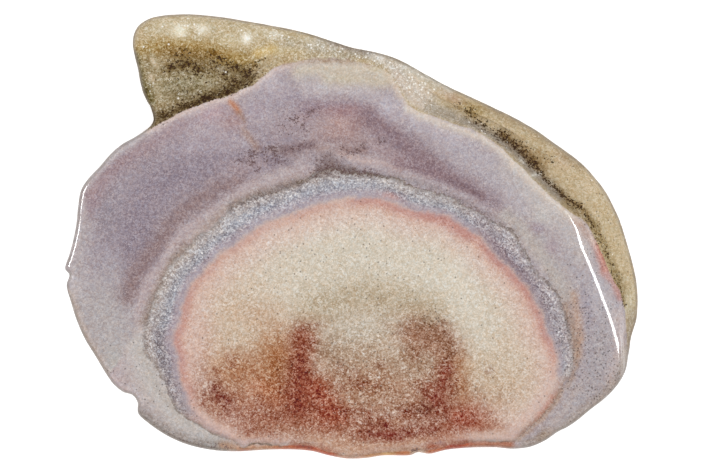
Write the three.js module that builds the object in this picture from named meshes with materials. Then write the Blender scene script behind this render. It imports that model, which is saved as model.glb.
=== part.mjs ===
// A polished agate slice lying on its sawn back: one stone, flat on top, with a polished rim that is a small
// rounding on the left and the front, a long bevel on the right, and a lower ledge of outer chalcedony at the back.
// Millimetres, +Z up. The origin is the middle of the outline's box, on the back face that the slice rests on.
import * as THREE from "three";

// Driving dimensions
const THICKNESS = 12; // back face to polished face
const ROUNDING = 1.3; // width of the small rounding along the plain rim
const BACK_CHAMFER = 1.9; // how far the back face stays inside the outline
const SAMPLES = 2; // stations on the rim for each outline point
const STONE = { color: 0xb5a3a4, roughness: 0.18, metalness: 0 };

// The plain rim, anticlockwise seen from above, from the inner corner of the back left tab down the left side,
// round the two chips and along the front to the front right corner: points of the outline.
const PLAIN_RIM = [
  [-37.5, 17.4], [-40.0, 16.0], [-42.0, 14.3], [-44.0, 12.0], [-45.9, 10.0], [-47.2, 7.9], [-47.7, 5.0],
  [-48.0, 2.0], [-48.6, -1.0], [-49.3, -3.5], [-49.95, -5.6], [-49.2, -6.8], [-49.65, -8.7], [-48.95, -11.4],
  [-47.95, -14.6], [-46.5, -17.9], [-44.6, -21.0], [-42.8, -24.0], [-41.5, -25.8], [-39.9, -27.1],
  [-38.2, -27.7], [-37.3, -29.0], [-37.2, -30.9], [-35.4, -32.6], [-32.8, -34.4], [-30.0, -35.8],
  [-27.0, -36.75], [-23.5, -37.35], [-19.8, -37.5], [-15.6, -37.25], [-11.2, -37.15], [-7.2, -37.4],
  [-4.0, -38.2], [-0.8, -38.75], [2.4, -38.65], [5.6, -38.2], [9.8, -38.2], [11.5, -37.65], [13.6, -37.9],
  [16.6, -37.2], [20.6, -36.85], [24.8, -36.8], [28.0, -37.05], [31.0, -36.7], [33.6, -35.6], [35.8, -34.1],
  [37.4, -33.3], [39.2, -32.1], [41.5, -30.2], [44.2, -28.1], [46.3, -25.8],
];

// The wide rim, on from there up the right side and along the back to the tab's inner corner. Each row is a point
// of the outline, the point of the flat face's edge that it faces, and how far the rim between them is a stepped
// ledge and how far a bevel, from 0 to 1.
const WIDE_RIM = [
  [47.65, -23.4, 45.9, -23.0, 0, 0.2],
  [48.25, -20.6, 45.7, -20.3, 0, 0.6],
  [48.8, -17.5, 45.1, -17.3, 0, 1],
  [49.7, -14.5, 44.3, -14.4, 0, 1],
  [49.95, -11.0, 43.1, -11.2, 0, 1],
  [49.6, -7.4, 41.8, -7.8, 0, 1],
  [48.9, -4.2, 40.5, -4.6, 0, 1],
  [48.0, -1.1, 39.2, -1.5, 0, 1],
  [46.9, 2.4, 38.4, 1.6, 0.25, 0.75],
  [45.6, 5.3, 37.2, 4.2, 0.85, 0.15],
  [44.1, 8.0, 35.7, 6.0, 1, 0],
  [42.3, 10.3, 33.9, 7.5, 1, 0],
  [40.2, 12.6, 32.1, 9.2, 1, 0],
  [37.7, 14.55, 30.2, 11.0, 1, 0],
  [35.2, 16.3, 28.5, 12.9, 1, 0],
  [32.2, 18.45, 26.5, 14.9, 1, 0],
  [28.7, 20.5, 24.1, 16.9, 1, 0],
  [24.6, 22.5, 21.0, 18.5, 1, 0],
  [20.6, 24.35, 17.6, 19.7, 1, 0],
  [16.6, 26.2, 14.2, 21.1, 0.9, 0],
  [12.7, 28.3, 11.2, 23.0, 0.7, 0],
  [9.7, 30.0, 8.8, 26.2, 0.35, 0],
  [7.0, 31.2, 6.4, 28.9, 0.1, 0],
  [4.0, 32.05, 3.7, 30.2, 0, 0],
  [0.0, 32.85, -0.3, 31.1, 0, 0],
  [-3.5, 33.95, -4.0, 31.9, 0, 0],
  [-7.0, 35.1, -7.6, 32.2, 0.1, 0],
  [-11.0, 36.1, -10.7, 31.2, 0.35, 0],
  [-15.5, 37.0, -13.2, 29.6, 0.7, 0],
  [-20.0, 37.8, -15.2, 28.1, 0.9, 0],
  [-24.5, 38.45, -17.4, 26.6, 1, 0],
  [-29.0, 38.75, -19.6, 25.3, 1, 0],
  [-33.0, 38.5, -21.9, 24.3, 1, 0],
  [-35.8, 37.8, -24.0, 23.7, 1, 0],
  [-37.6, 36.3, -26.0, 22.9, 1, 0],
  [-38.3, 33.9, -27.8, 22.1, 1, 0],
  [-37.9, 31.2, -29.4, 21.4, 1, 0],
  [-37.3, 28.7, -30.9, 20.7, 1, 0],
  [-36.9, 26.4, -32.1, 20.0, 1, 0],
  [-36.2, 24.3, -33.1, 19.4, 0.9, 0],
  [-35.0, 22.4, -33.9, 18.9, 0.7, 0],
  [-34.5, 20.8, -34.6, 18.3, 0.4, 0],
  [-35.2, 19.1, -35.5, 17.6, 0.1, 0],
];

// Each profile runs over the rim from the face's edge to the outline: where the knot is, as a distance from the
// face's edge, or from the outline where it is negative, or as a share of the way where it is in { }; and its
// depth below the polished face.
const LEDGE_PROFILE = [
  [0.3, 0.14], [0.8, 0.75], [1.8, 1.8], [{ share: 0.5 }, 1.75], [-2.6, 1.45], [-1.1, 2.1], [-0.3, 3.4], [0, 5.4],
];
const BEVEL_PROFILE = [
  [0.6, 0.1], [1.4, 0.47], [2.4, 1.15], [{ share: 0.58 }, 2.3], [-1.7, 3.4], [-0.8, 4.3], [-0.2, 5.4], [0, 6.9],
];
const KNOTS = LEDGE_PROFILE.length;

// The wall under the outline, as a distance inside it and a share of the height of the outline there, then the
// chamfer to the back face, as a distance inside the outline and a height.
const WALL = [[0.05, 0.7], [0.12, 0.36]];
const WALL_SWELL = 0.28; // most that the wall draws in between its swells
const CHAMFER = [[0.45, 1.3], [1.05, 0.35], [BACK_CHAMFER, 0]];

// Rings inside the flat face: one just inside its edge, then shares of the way out from the middle
const EDGE_RING = 0.7;
const FACE_RINGS = [0.8, 0.55, 0.3, 0.12];
const BACK_RINGS = [0.6, 0.2];
const MIDDLE = new THREE.Vector2(0, -4);

const plain = PLAIN_RIM.map(([x, y]) => ({ outline: new THREE.Vector3(x, y, 0), ledge: 0, bevel: 0 }));
const wide = WIDE_RIM.map(([x, y, faceX, faceY, ledge, bevel]) => ({
  outline: new THREE.Vector3(x, y, 0),
  face: new THREE.Vector3(faceX, faceY, 0),
  ledge,
  bevel,
}));
const rows = [...plain, ...wide];

// The inward direction at an outline point, square to the line between its neighbours.
function inward(points, i) {
  const before = points[(i + points.length - 1) % points.length];
  const after = points[(i + 1) % points.length];
  return new THREE.Vector3(before.y - after.y, after.x - before.x, 0).normalize();
}

// A closed curve through one value for each row, read at the same shares of the loop.
function loop(values) {
  return new THREE.CatmullRomCurve3(values, true, "catmullrom", 0.5);
}

// The stations round the rim: the outline, the face's edge, the inward direction, and the kind of rim.
function stations() {
  const corners = rows.map((row) => row.outline);
  rows.forEach((row, i) => {
    row.face ??= row.outline.clone().addScaledVector(inward(corners, i), ROUNDING);
  });
  const outline = loop(corners);
  const face = loop(rows.map((row) => row.face));
  const kind = loop(rows.map((row) => new THREE.Vector3(row.ledge, row.bevel, 0)));
  const count = rows.length * SAMPLES;
  const list = Array.from({ length: count }, (_, i) => {
    const { x: ledge, y: bevel } = kind.getPoint(i / count);
    return { outline: outline.getPoint(i / count), face: face.getPoint(i / count), ledge, bevel };
  });
  const points = list.map((station) => station.outline);
  list.forEach((station, i) => {
    station.inward = inward(points, i);
  });
  return list;
}

// How far along the way from the face's edge to the outline a profile's knot lies.
function shareOf(place, width) {
  if (typeof place === "object") return place.share;
  return place > 0 ? Math.min(place / width, 0.45) : 1 - Math.min(-place / width, 0.45);
}

// The rim's knots at a station, from the face's edge outwards: the plain rounding, mixed with the ledge and bevel.
function rimKnots(station) {
  const width = station.outline.distanceTo(station.face);
  const ledge = THREE.MathUtils.clamp(station.ledge, 0, 1);
  const bevel = THREE.MathUtils.clamp(station.bevel, 0, 1 - ledge);
  return Array.from({ length: KNOTS }, (_, k) => {
    const turn = ((k + 1) / KNOTS) * (Math.PI / 2);
    const round = [Math.sin(turn), ROUNDING * (1 - Math.cos(turn))];
    const step = [shareOf(LEDGE_PROFILE[k][0] || 0, width), LEDGE_PROFILE[k][1]];
    const slope = [shareOf(BEVEL_PROFILE[k][0] || 0, width), BEVEL_PROFILE[k][1]];
    const mix = (n) => round[n] * (1 - ledge - bevel) + step[n] * ledge + slope[n] * bevel;
    const point = station.face.clone().lerp(station.outline, mix(0));
    return point.setZ(THICKNESS - mix(1));
  });
}

// The wall's slow swells, from 0 to 1: whole waves round the rim, out of step with each other on the way down.
function swell(turn, level) {
  const waves = Math.sin(7 * turn + 2 * level) + 0.7 * Math.sin(13 * turn - level) + 0.5 * Math.sin(24 * turn + level);
  return 0.5 + waves / 4.4;
}

// Every ring of the stone, from the face's edge over the rim and down the wall to the back face's edge.
function skinRings(list) {
  const columns = list.map((station, i) => {
    const rim = rimKnots(station);
    const widest = rim[KNOTS - 1].z;
    const turn = (i / list.length) * 2 * Math.PI;
    const inside = (distance, height) =>
      station.outline.clone().addScaledVector(station.inward, distance).setZ(height);
    const wall = WALL.map(([inset, share], level) =>
      inside(inset + WALL_SWELL * swell(turn, level), share * widest),
    );
    const chamfer = CHAMFER.map(([inset, height]) => inside(inset, height));
    return [station.face.clone().setZ(THICKNESS), ...rim, ...wall, ...chamfer];
  });
  return columns[0].map((_, ring) => columns.map((column) => column[ring]));
}

// Rings that shrink from a flat ring towards the middle.
function innerRings(edge, shares) {
  return shares.map((share) =>
    edge.map((p) => new THREE.Vector3(MIDDLE.x, MIDDLE.y, p.z).lerp(p, share)),
  );
}

// A closed skin over rings that run from the middle of the top, outwards, down and in to the middle of the back.
function skin(rings) {
  const count = rings[0].length;
  const top = new THREE.Vector3(MIDDLE.x, MIDDLE.y, rings[0][0].z);
  const bottom = new THREE.Vector3(MIDDLE.x, MIDDLE.y, rings[rings.length - 1][0].z);
  const points = [top, ...rings.flat(), bottom];
  const index = [];
  for (let i = 0; i < count; i++) {
    const next = (i + 1) % count;
    index.push(0, 1 + i, 1 + next);
    for (let r = 0; r < rings.length - 1; r++) {
      const here = 1 + r * count;
      const below = here + count;
      index.push(here + i, below + i, below + next, here + i, below + next, here + next);
    }
    const last = 1 + (rings.length - 1) * count;
    index.push(last + i, points.length - 1, last + next);
  }
  const geometry = new THREE.BufferGeometry().setFromPoints(points).setIndex(index);
  geometry.computeVertexNormals();
  return geometry;
}

function agateSlice() {
  const list = stations();
  const rim = skinRings(list);
  const edgeRing = list.map(({ face, inward: into }) =>
    face.clone().addScaledVector(into, EDGE_RING).setZ(THICKNESS),
  );
  const face = [...innerRings(edgeRing, FACE_RINGS).reverse(), edgeRing];
  const back = innerRings(rim[rim.length - 1], BACK_RINGS);
  const mesh = new THREE.Mesh(skin([...face, ...rim, ...back]), new THREE.MeshStandardMaterial(STONE));
  mesh.name = "agate_slice";
  return mesh;
}

const part = new THREE.Group();
part.add(agateSlice());
export default part;
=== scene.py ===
"""A polished agate slice, lying on its sawn back and seen from straight above.

The stone is one closed mesh, rebuilt finely from the same outline and rim as the solid that it stands
for. Its bands are drawn from a few contours: the edge of the mauve plate against the outer shell, the
dark line round the grey ring, and the orange edge of the cream core. Soft marks in each zone are spots
and streaks. Everything is in millimetres until the mesh is made.
"""

import math

import bpy
import numpy as np
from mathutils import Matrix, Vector, noise
from mathutils.geometry import delaunay_2d_cdt


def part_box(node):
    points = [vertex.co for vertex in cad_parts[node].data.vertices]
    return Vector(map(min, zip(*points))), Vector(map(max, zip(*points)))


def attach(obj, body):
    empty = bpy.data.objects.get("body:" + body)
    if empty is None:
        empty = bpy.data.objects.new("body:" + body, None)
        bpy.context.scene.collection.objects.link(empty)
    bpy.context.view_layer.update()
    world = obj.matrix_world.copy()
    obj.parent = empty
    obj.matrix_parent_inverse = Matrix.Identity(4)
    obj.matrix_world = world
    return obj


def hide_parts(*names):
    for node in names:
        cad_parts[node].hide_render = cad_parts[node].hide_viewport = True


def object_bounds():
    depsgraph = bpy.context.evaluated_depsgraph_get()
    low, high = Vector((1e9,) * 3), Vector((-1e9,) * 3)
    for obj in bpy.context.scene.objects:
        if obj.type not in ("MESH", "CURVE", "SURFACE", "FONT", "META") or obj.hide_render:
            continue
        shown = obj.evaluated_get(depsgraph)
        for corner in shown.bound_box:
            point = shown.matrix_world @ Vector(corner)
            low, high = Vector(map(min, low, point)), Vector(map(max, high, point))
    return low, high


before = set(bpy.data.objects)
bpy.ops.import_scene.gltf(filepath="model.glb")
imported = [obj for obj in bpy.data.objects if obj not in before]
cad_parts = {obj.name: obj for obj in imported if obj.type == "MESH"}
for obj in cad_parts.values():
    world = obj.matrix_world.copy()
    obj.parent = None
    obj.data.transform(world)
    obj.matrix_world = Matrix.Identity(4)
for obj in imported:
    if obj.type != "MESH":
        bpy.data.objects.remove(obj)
cad_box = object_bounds()

NODE = "agate_slice"
MM = 0.001  # one millimetre in the scene's metres
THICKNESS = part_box(NODE)[1].z / MM

# ------------------------------------------------------------------------------------------------------
# The stone's form: the same outline, face edge and rim profiles as the solid
# ------------------------------------------------------------------------------------------------------

ROUNDING = 1.3  # of the plain rim
# The wall's knots: how far each is drawn in, and its share of the widest place's height
WALL = ((0.05, 0.7), (0.12, 0.36))
WALL_SWELL = 0.28  # depth of the wall's slow swells
SWELLS = ((7, 2, 1), (13, -1, 0.7), (24, 1, 0.5))  # waves round the rim, shift at each knot, size
CHAMFER = ((0.45, 1.3), (1.05, 0.35), (1.9, 0.0))  # the back edge's knots: how far in, and how high
FACE_MARGIN = 0.7  # ring inside the flat face's edge
NEAR_LIMIT = 0.45  # a knot measured from one edge of the rim lies within this share of it
STEPS_ALONG = 8  # stations for each point of the outline
STEPS_DOWN = (3, 3, 3, 4, 11, 12, 4, 4, 4, 5, 6, 5, 4, 3)  # rings in each stretch of the profile
FACE_SPACING = 0.5  # of the points inside the polished face
BACK_SPACING = 1.1  # of those inside the sawn back
CLEARANCE = 0.55  # the share of its spacing that a flat face's grid keeps from the ring round it
WELD = 1e-6  # corners of a flat face closer than this are one
TINY = 1e-9  # keeps a length from being nought
BATCH = 4000  # points whose distances are worked out at one time

# The plain rim's points, anticlockwise from above, from the tab's inner corner to the front right corner
PLAIN_RIM = (
    (-37.5, 17.4), (-40.0, 16.0), (-42.0, 14.3), (-44.0, 12.0), (-45.9, 10.0), (-47.2, 7.9),
    (-47.7, 5.0), (-48.0, 2.0), (-48.6, -1.0), (-49.3, -3.5), (-49.95, -5.6), (-49.2, -6.8),
    (-49.65, -8.7), (-48.95, -11.4), (-47.95, -14.6), (-46.5, -17.9), (-44.6, -21.0), (-42.8, -24.0),
    (-41.5, -25.8), (-39.9, -27.1), (-38.2, -27.7), (-37.3, -29.0), (-37.2, -30.9), (-35.4, -32.6),
    (-32.8, -34.4), (-30.0, -35.8), (-27.0, -36.75), (-23.5, -37.35), (-19.8, -37.5), (-15.6, -37.25),
    (-11.2, -37.15), (-7.2, -37.4), (-4.0, -38.2), (-0.8, -38.75), (2.4, -38.65), (5.6, -38.2),
    (9.8, -38.2), (11.5, -37.65), (13.6, -37.9), (16.6, -37.2), (20.6, -36.85), (24.8, -36.8),
    (28.0, -37.05), (31.0, -36.7), (33.6, -35.6), (35.8, -34.1), (37.4, -33.3), (39.2, -32.1),
    (41.5, -30.2), (44.2, -28.1), (46.3, -25.8),
)

# The wide rim: a point of the outline, the point of the face's edge opposite, and the shares of ledge
# and bevel
WIDE_RIM = (
    (47.65, -23.4, 45.9, -23.0, 0, 0.2),
    (48.25, -20.6, 45.7, -20.3, 0, 0.6),
    (48.8, -17.5, 45.1, -17.3, 0, 1),
    (49.7, -14.5, 44.3, -14.4, 0, 1),
    (49.95, -11.0, 43.1, -11.2, 0, 1),
    (49.6, -7.4, 41.8, -7.8, 0, 1),
    (48.9, -4.2, 40.5, -4.6, 0, 1),
    (48.0, -1.1, 39.2, -1.5, 0, 1),
    (46.9, 2.4, 38.4, 1.6, 0.25, 0.75),
    (45.6, 5.3, 37.2, 4.2, 0.85, 0.15),
    (44.1, 8.0, 35.7, 6.0, 1, 0),
    (42.3, 10.3, 33.9, 7.5, 1, 0),
    (40.2, 12.6, 32.1, 9.2, 1, 0),
    (37.7, 14.55, 30.2, 11.0, 1, 0),
    (35.2, 16.3, 28.5, 12.9, 1, 0),
    (32.2, 18.45, 26.5, 14.9, 1, 0),
    (28.7, 20.5, 24.1, 16.9, 1, 0),
    (24.6, 22.5, 21.0, 18.5, 1, 0),
    (20.6, 24.35, 17.6, 19.7, 1, 0),
    (16.6, 26.2, 14.2, 21.1, 0.9, 0),
    (12.7, 28.3, 11.2, 23.0, 0.7, 0),
    (9.7, 30.0, 8.8, 26.2, 0.35, 0),
    (7.0, 31.2, 6.4, 28.9, 0.1, 0),
    (4.0, 32.05, 3.7, 30.2, 0, 0),
    (0.0, 32.85, -0.3, 31.1, 0, 0),
    (-3.5, 33.95, -4.0, 31.9, 0, 0),
    (-7.0, 35.1, -7.6, 32.2, 0.1, 0),
    (-11.0, 36.1, -10.7, 31.2, 0.35, 0),
    (-15.5, 37.0, -13.2, 29.6, 0.7, 0),
    (-20.0, 37.8, -15.2, 28.1, 0.9, 0),
    (-24.5, 38.45, -17.4, 26.6, 1, 0),
    (-29.0, 38.75, -19.6, 25.3, 1, 0),
    (-33.0, 38.5, -21.9, 24.3, 1, 0),
    (-35.8, 37.8, -24.0, 23.7, 1, 0),
    (-37.6, 36.3, -26.0, 22.9, 1, 0),
    (-38.3, 33.9, -27.8, 22.1, 1, 0),
    (-37.9, 31.2, -29.4, 21.4, 1, 0),
    (-37.3, 28.7, -30.9, 20.7, 1, 0),
    (-36.9, 26.4, -32.1, 20.0, 1, 0),
    (-36.2, 24.3, -33.1, 19.4, 0.9, 0),
    (-35.0, 22.4, -33.9, 18.9, 0.7, 0),
    (-34.5, 20.8, -34.6, 18.3, 0.4, 0),
    (-35.2, 19.1, -35.5, 17.6, 0.1, 0),
)

# Rim profiles: where each knot is measured from, how far it is from there, and its depth below the face
LEDGE_PROFILE = (
    ("face", 0.3, 0.14), ("face", 0.8, 0.75), ("face", 1.8, 1.8), ("share", 0.5, 1.75),
    ("outline", 2.6, 1.45), ("outline", 1.1, 2.1), ("outline", 0.3, 3.4), ("outline", 0, 5.4),
)

BEVEL_PROFILE = (
    ("face", 0.6, 0.1), ("face", 1.4, 0.47), ("face", 2.4, 1.15), ("share", 0.58, 2.3),
    ("outline", 1.7, 3.4), ("outline", 0.8, 4.3), ("outline", 0.2, 5.4), ("outline", 0, 6.9),
)


def rise(value, start, width):
    """From 0 to 1 over a width from a start, and the other way where the width is negative."""
    return np.clip((value - start) / width, 0, 1)


def smooth_loop(points, count):
    """So many points, at even steps, of the closed smooth curve through the given ones."""
    points = np.asarray(points, float)
    at = np.arange(count) * len(points) / count
    first = np.floor(at).astype(int)
    w = (at - first)[:, None]
    before, here, after, beyond = (points[(first + k) % len(points)] for k in (-1, 0, 1, 2))
    slope_here, slope_after = (after - before) / 2, (beyond - here) / 2
    rising = w * w * (3 - 2 * w)
    return (
        here * (1 - rising) + after * rising
        + slope_here * w * (1 - w) ** 2
        - slope_after * w * w * (1 - w)
    )


def inward(points, reach=1):
    """The direction into a closed outline at each point, judged over so many points on either side."""
    along = np.roll(points, -reach, 0) - np.roll(points, reach, 0)
    across = np.column_stack([-along[:, 1], along[:, 0]])
    return across / np.linalg.norm(across, axis=1, keepdims=True)


def stations():
    """The outline, the face's edge, and the shares of ledge and bevel, at every station round the stone."""
    plain = np.array(PLAIN_RIM)
    wide = np.array(WIDE_RIM, float)
    corners = np.vstack([plain, wide[:, :2]])
    rounded = corners + inward(corners) * ROUNDING
    rows = np.zeros((len(corners), 6))
    rows[:, :2] = corners
    rows[:, 2:4] = rounded
    rows[len(plain):, 2:] = wide[:, 2:]
    loop = smooth_loop(rows, len(rows) * STEPS_ALONG)
    return loop[:, :2], loop[:, 2:4], np.clip(loop[:, 4], 0, 1), np.clip(loop[:, 5], 0, 1)


def share_along(origin, distance, width):
    """How far over the rim, from the face's edge to the outline, a profile's knot lies."""
    if origin == "share":
        return np.full(len(width), distance)
    near = np.minimum(distance / width, NEAR_LIMIT)
    return near if origin == "face" else 1 - near


def level(points, height):
    """Points of the plan at one height, or each at its own."""
    return np.column_stack([points, np.broadcast_to(height, len(points))])


def swell(turn, step):
    """The wall's slow swells at one of its knots, from 0 to 1."""
    waves = sum(size * np.sin(count * turn + shift * step) for count, shift, size in SWELLS)
    return 0.5 + waves / (2 * sum(size for _, _, size in SWELLS))


def profile_knots(outline, face, ledge, bevel):
    """The rings that the skin passes through, from just inside the face's edge to the back face's edge."""
    bevel = np.minimum(bevel, 1 - ledge)
    plain = 1 - ledge - bevel
    width = np.linalg.norm(outline - face, axis=1)
    into = inward(outline, STEPS_ALONG)
    knots = [level(face + into * FACE_MARGIN, THICKNESS), level(face, THICKNESS)]
    for k, (step, slope) in enumerate(zip(LEDGE_PROFILE, BEVEL_PROFILE)):
        turn = (k + 1) / len(LEDGE_PROFILE) * math.pi / 2
        share = plain * math.sin(turn)
        share += ledge * share_along(*step[:2], width)
        share += bevel * share_along(*slope[:2], width)
        depth = plain * ROUNDING * (1 - math.cos(turn)) + ledge * step[2] + bevel * slope[2]
        knots.append(level(face + (outline - face) * share[:, None], THICKNESS - depth))
    widest = knots[-1][:, 2]
    turn = np.arange(len(outline)) / len(outline) * 2 * math.pi
    for step, (inset, share) in enumerate(WALL):
        draw = inset + WALL_SWELL * swell(turn, step)
        knots.append(level(outline + into * draw[:, None], share * widest))
    for inset, height in CHAMFER:
        knots.append(level(outline + into * inset, height))
    return knots


def between(a, b, start, end, at):
    """The point that lies on the way from a to b as a place lies between a start and an end."""
    return ((end - at) * a + (at - start) * b) / (end - start)


def rings_through(knots):
    """Rings on the smooth curves that run down through every station's knots."""
    first = 2 * knots[0] - knots[1]
    last = 2 * knots[-1] - knots[-2]
    padded = [first, *knots, last]
    rings = []
    for k, steps in enumerate(STEPS_DOWN):
        p = padded[k:k + 4]
        gaps = [np.sqrt(np.linalg.norm(b - a, axis=1) + TINY)[:, None] for a, b in zip(p, p[1:])]
        t = [np.zeros_like(gaps[0])]
        for gap in gaps:
            t.append(t[-1] + gap)
        for n in range(steps):
            at = t[1] + (t[2] - t[1]) * n / steps
            low = [between(p[j], p[j + 1], t[j], t[j + 1], at) for j in range(3)]
            middle = [between(low[j], low[j + 1], t[j], t[j + 2], at) for j in range(2)]
            rings.append(between(*middle, t[1], t[2], at))
    rings.append(knots[-1])
    return rings


def batches(points):
    """The numbers of the points, in batches."""
    return np.array_split(np.arange(len(points)), max(1, len(points) // BATCH))


def inside(points, ring):
    """Which points of the plan lie inside a closed ring."""
    x, y = points[:, :1], points[:, 1:2]
    x0, y0 = ring[:, 0], ring[:, 1]
    x1, y1 = np.roll(x0, -1), np.roll(y0, -1)
    climb = np.where(y1 == y0, 1, y1 - y0)
    result = np.zeros(len(points), bool)
    for part in batches(points):
        crossed = (y0 > y[part]) != (y1 > y[part])
        left = x[part] < x0 + (y[part] - y0) / climb * (x1 - x0)
        result[part] = (crossed & left).sum(1) % 2 == 1
    return result


def to_ring(points, ring, closed=True):
    """The distance from each point of the plan to a ring or an open path."""
    start = ring if closed else ring[:-1]
    along = (np.roll(ring, -1, 0) if closed else ring[1:]) - start
    length = np.maximum((along ** 2).sum(1), TINY)
    result = np.zeros(len(points))
    for part in batches(points):
        offset = points[part][:, None] - start[None]
        share = np.clip((offset * along).sum(2) / length, 0, 1)
        gap = offset - share[..., None] * along
        result[part] = np.sqrt((gap ** 2).sum(2).min(1))
    return result


def filling(ring, spacing):
    """Points on a triangular grid inside a flat ring, and the triangles that join them to it."""
    low, high = ring[:, :2].min(0), ring[:, :2].max(0)
    grid = []
    for i, y in enumerate(np.arange(low[1], high[1], spacing * math.sqrt(3) / 2)):
        start = low[0] + (i % 2) * spacing / 2
        grid += [(x, y) for x in np.arange(start, high[0], spacing)]
    grid = np.array(grid)
    grid = grid[inside(grid, ring[:, :2])]
    grid = grid[to_ring(grid, ring[:, :2]) > CLEARANCE * spacing]
    flat = [Vector(p) for p in np.vstack([ring[:, :2], grid])]
    edges = [(i, (i + 1) % len(ring)) for i in range(len(ring))]
    inside_only = 1
    _, _, triangles, sources, _, _ = delaunay_2d_cdt(flat, edges, [], inside_only, WELD)
    source = [s[0] for s in sources]
    return grid, [[source[c] for c in triangle] for triangle in triangles]


def rim_faces(rings, count):
    """The faces that join each ring of so many points to the next one down."""
    faces = []
    for r in range(len(rings) - 1):
        for i in range(count):
            j = (i + 1) % count
            faces.append((r * count + i, (r + 1) * count + i, (r + 1) * count + j, r * count + j))
    return faces


def flat_faces(triangles, count, ring_start, fill_start):
    """A filling's triangles, with their corners numbered as they are in the whole stone."""
    return [[ring_start + c if c < count else fill_start + c - count for c in t] for t in triangles]


def stone_mesh():
    """The stone's points and faces, and how far each point has sunk from the widest place to the back."""
    outline, face, ledge, bevel = stations()
    knots = profile_knots(outline, face, ledge, bevel)
    rings = rings_through(knots)
    count = len(outline)
    top_fill, top_triangles = filling(rings[0], FACE_SPACING)
    back_fill, back_triangles = filling(rings[-1], BACK_SPACING)
    points = [*rings, level(top_fill, THICKNESS), level(back_fill, 0.0)]
    widest_knot = len(LEDGE_PROFILE) + 1
    widest = knots[widest_knot][:, 2]
    widest_ring = sum(STEPS_DOWN[:widest_knot])
    sink = [rise(ring[:, 2], widest, -widest) * (r > widest_ring) for r, ring in enumerate(rings)]
    sink += [np.zeros(len(top_fill)), np.ones(len(back_fill))]
    top_start = len(rings) * count
    faces = rim_faces(rings, count)
    faces += flat_faces(top_triangles, count, 0, top_start)
    turned = [triangle[::-1] for triangle in back_triangles]
    faces += flat_faces(turned, count, top_start - count, top_start + len(top_fill))
    return np.vstack(points), faces, np.concatenate(sink)


SEED_STEP = (7.31, 3.17, 5.71)  # how far apart two seeds lie in the noise


def ripple(points, size, seed):
    """Soft noise from about -1 to 1, with features of a size."""
    shift = Vector([step * seed for step in SEED_STEP])
    return np.array([noise.noise(Vector(p) / size + shift) for p in points])


# ------------------------------------------------------------------------------------------------------
# The contours of the stone's bands, and the soft marks in each zone
# ------------------------------------------------------------------------------------------------------

# The mauve plate's edge against the shell, from the right side over the back to the tab's inner corner
PLATE_EDGE = (
    (49.2, -20.9), (48.0, -18.8), (47.8, -15.7), (47.5, -13.2), (47.1, -11.2), (46.6, -9.3),
    (45.7, -8.0), (44.7, -6.1), (44.0, -4.2), (43.1, -2.2), (41.9, 0.3), (40.9, 2.0), (39.9, 3.0),
    (38.1, 4.0), (36.7, 5.1), (35.0, 6.5), (33.6, 7.7), (32.2, 9.1), (30.8, 10.6), (29.5, 12.0),
    (27.7, 13.6), (26.3, 15.0), (24.6, 16.5), (22.5, 17.7), (20.5, 18.7), (18.4, 19.3), (16.3, 20.0),
    (13.9, 21.0), (11.4, 21.5), (9.4, 23.2), (8.2, 25.6), (6.4, 28.3), (3.7, 29.7), (-0.3, 30.6),
    (-4.0, 31.0), (-7.6, 30.8), (-10.1, 30.2), (-12.1, 29.9), (-13.5, 29.3), (-14.6, 28.3),
    (-16.0, 27.3), (-17.3, 26.2), (-19.1, 25.5), (-20.6, 24.7), (-22.2, 24.1), (-24.3, 23.7),
    (-26.3, 22.9), (-28.4, 22.1), (-30.5, 21.2), (-32.1, 20.2), (-34.0, 19.2), (-35.4, 18.4),
    (-37.5, 18.6),
)

BEYOND = ((-60, 24), (-60, -60), (60, -60), (60, -21))  # closes the plate's side well outside the stone

# The dark line round the grey ring, anticlockwise from the top
DARK_LINE = (
    (0.0, 10.7), (-3.5, 11.5), (-6.6, 10.6), (-8.7, 9.6), (-11.1, 8.5), (-13.9, 7.7), (-16.0, 7.3),
    (-18.7, 6.3), (-20.8, 5.3), (-22.2, 3.7), (-23.9, 2.1), (-25.3, 0.9), (-27.0, -0.1),
    (-28.1, -1.5), (-29.5, -3.2), (-31.2, -4.6), (-32.4, -6.1), (-33.1, -8.0), (-34.0, -9.8),
    (-34.7, -11.9), (-35.4, -13.6), (-35.9, -15.7), (-36.4, -16.9), (-36.2, -18.8), (-35.9, -20.5),
    (-34.7, -21.9), (-33.6, -23.6), (-32.6, -25.4), (-31.9, -27.5), (-31.0, -29.2), (-29.8, -30.9),
    (-28.1, -32.1), (-26.3, -33.0), (-24.6, -34.2), (-22.5, -34.9), (-20.8, -35.6), (-19.7, -36.2),
    (-18.6, -36.7), (-17.5, -36.2), (-15.6, -36.1), (-13.2, -36.3), (-10.4, -36.4), (-9.0, -36.2),
    (-6.9, -36.5), (-5.2, -37.2), (-2.8, -37.9), (0.0, -38.4), (5.0, -37.6), (10.7, -37.2),
    (13.9, -37.2), (16.3, -36.5), (18.7, -36.1), (20.8, -35.8), (22.9, -35.6), (25.6, -35.7),
    (28.1, -35.6), (29.5, -34.4), (31.2, -33.0), (32.6, -31.8), (34.0, -30.2), (35.0, -28.8),
    (36.0, -27.1), (36.7, -25.7), (38.0, -24.0), (38.5, -21.9), (38.5, -20.2), (38.1, -18.1),
    (37.6, -16.0), (37.1, -13.9), (36.2, -11.9), (35.7, -9.8), (34.3, -8.4), (32.9, -7.2),
    (31.4, -5.4), (30.5, -3.5), (29.1, -1.3), (27.7, 1.0), (25.6, 2.1), (23.6, 3.0), (21.5, 4.4),
    (19.4, 5.4), (18.0, 6.3), (15.9, 7.2), (13.9, 7.7), (11.8, 8.2), (9.7, 8.9), (8.3, 9.8),
    (6.2, 10.1), (3.5, 10.6),
)

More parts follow.
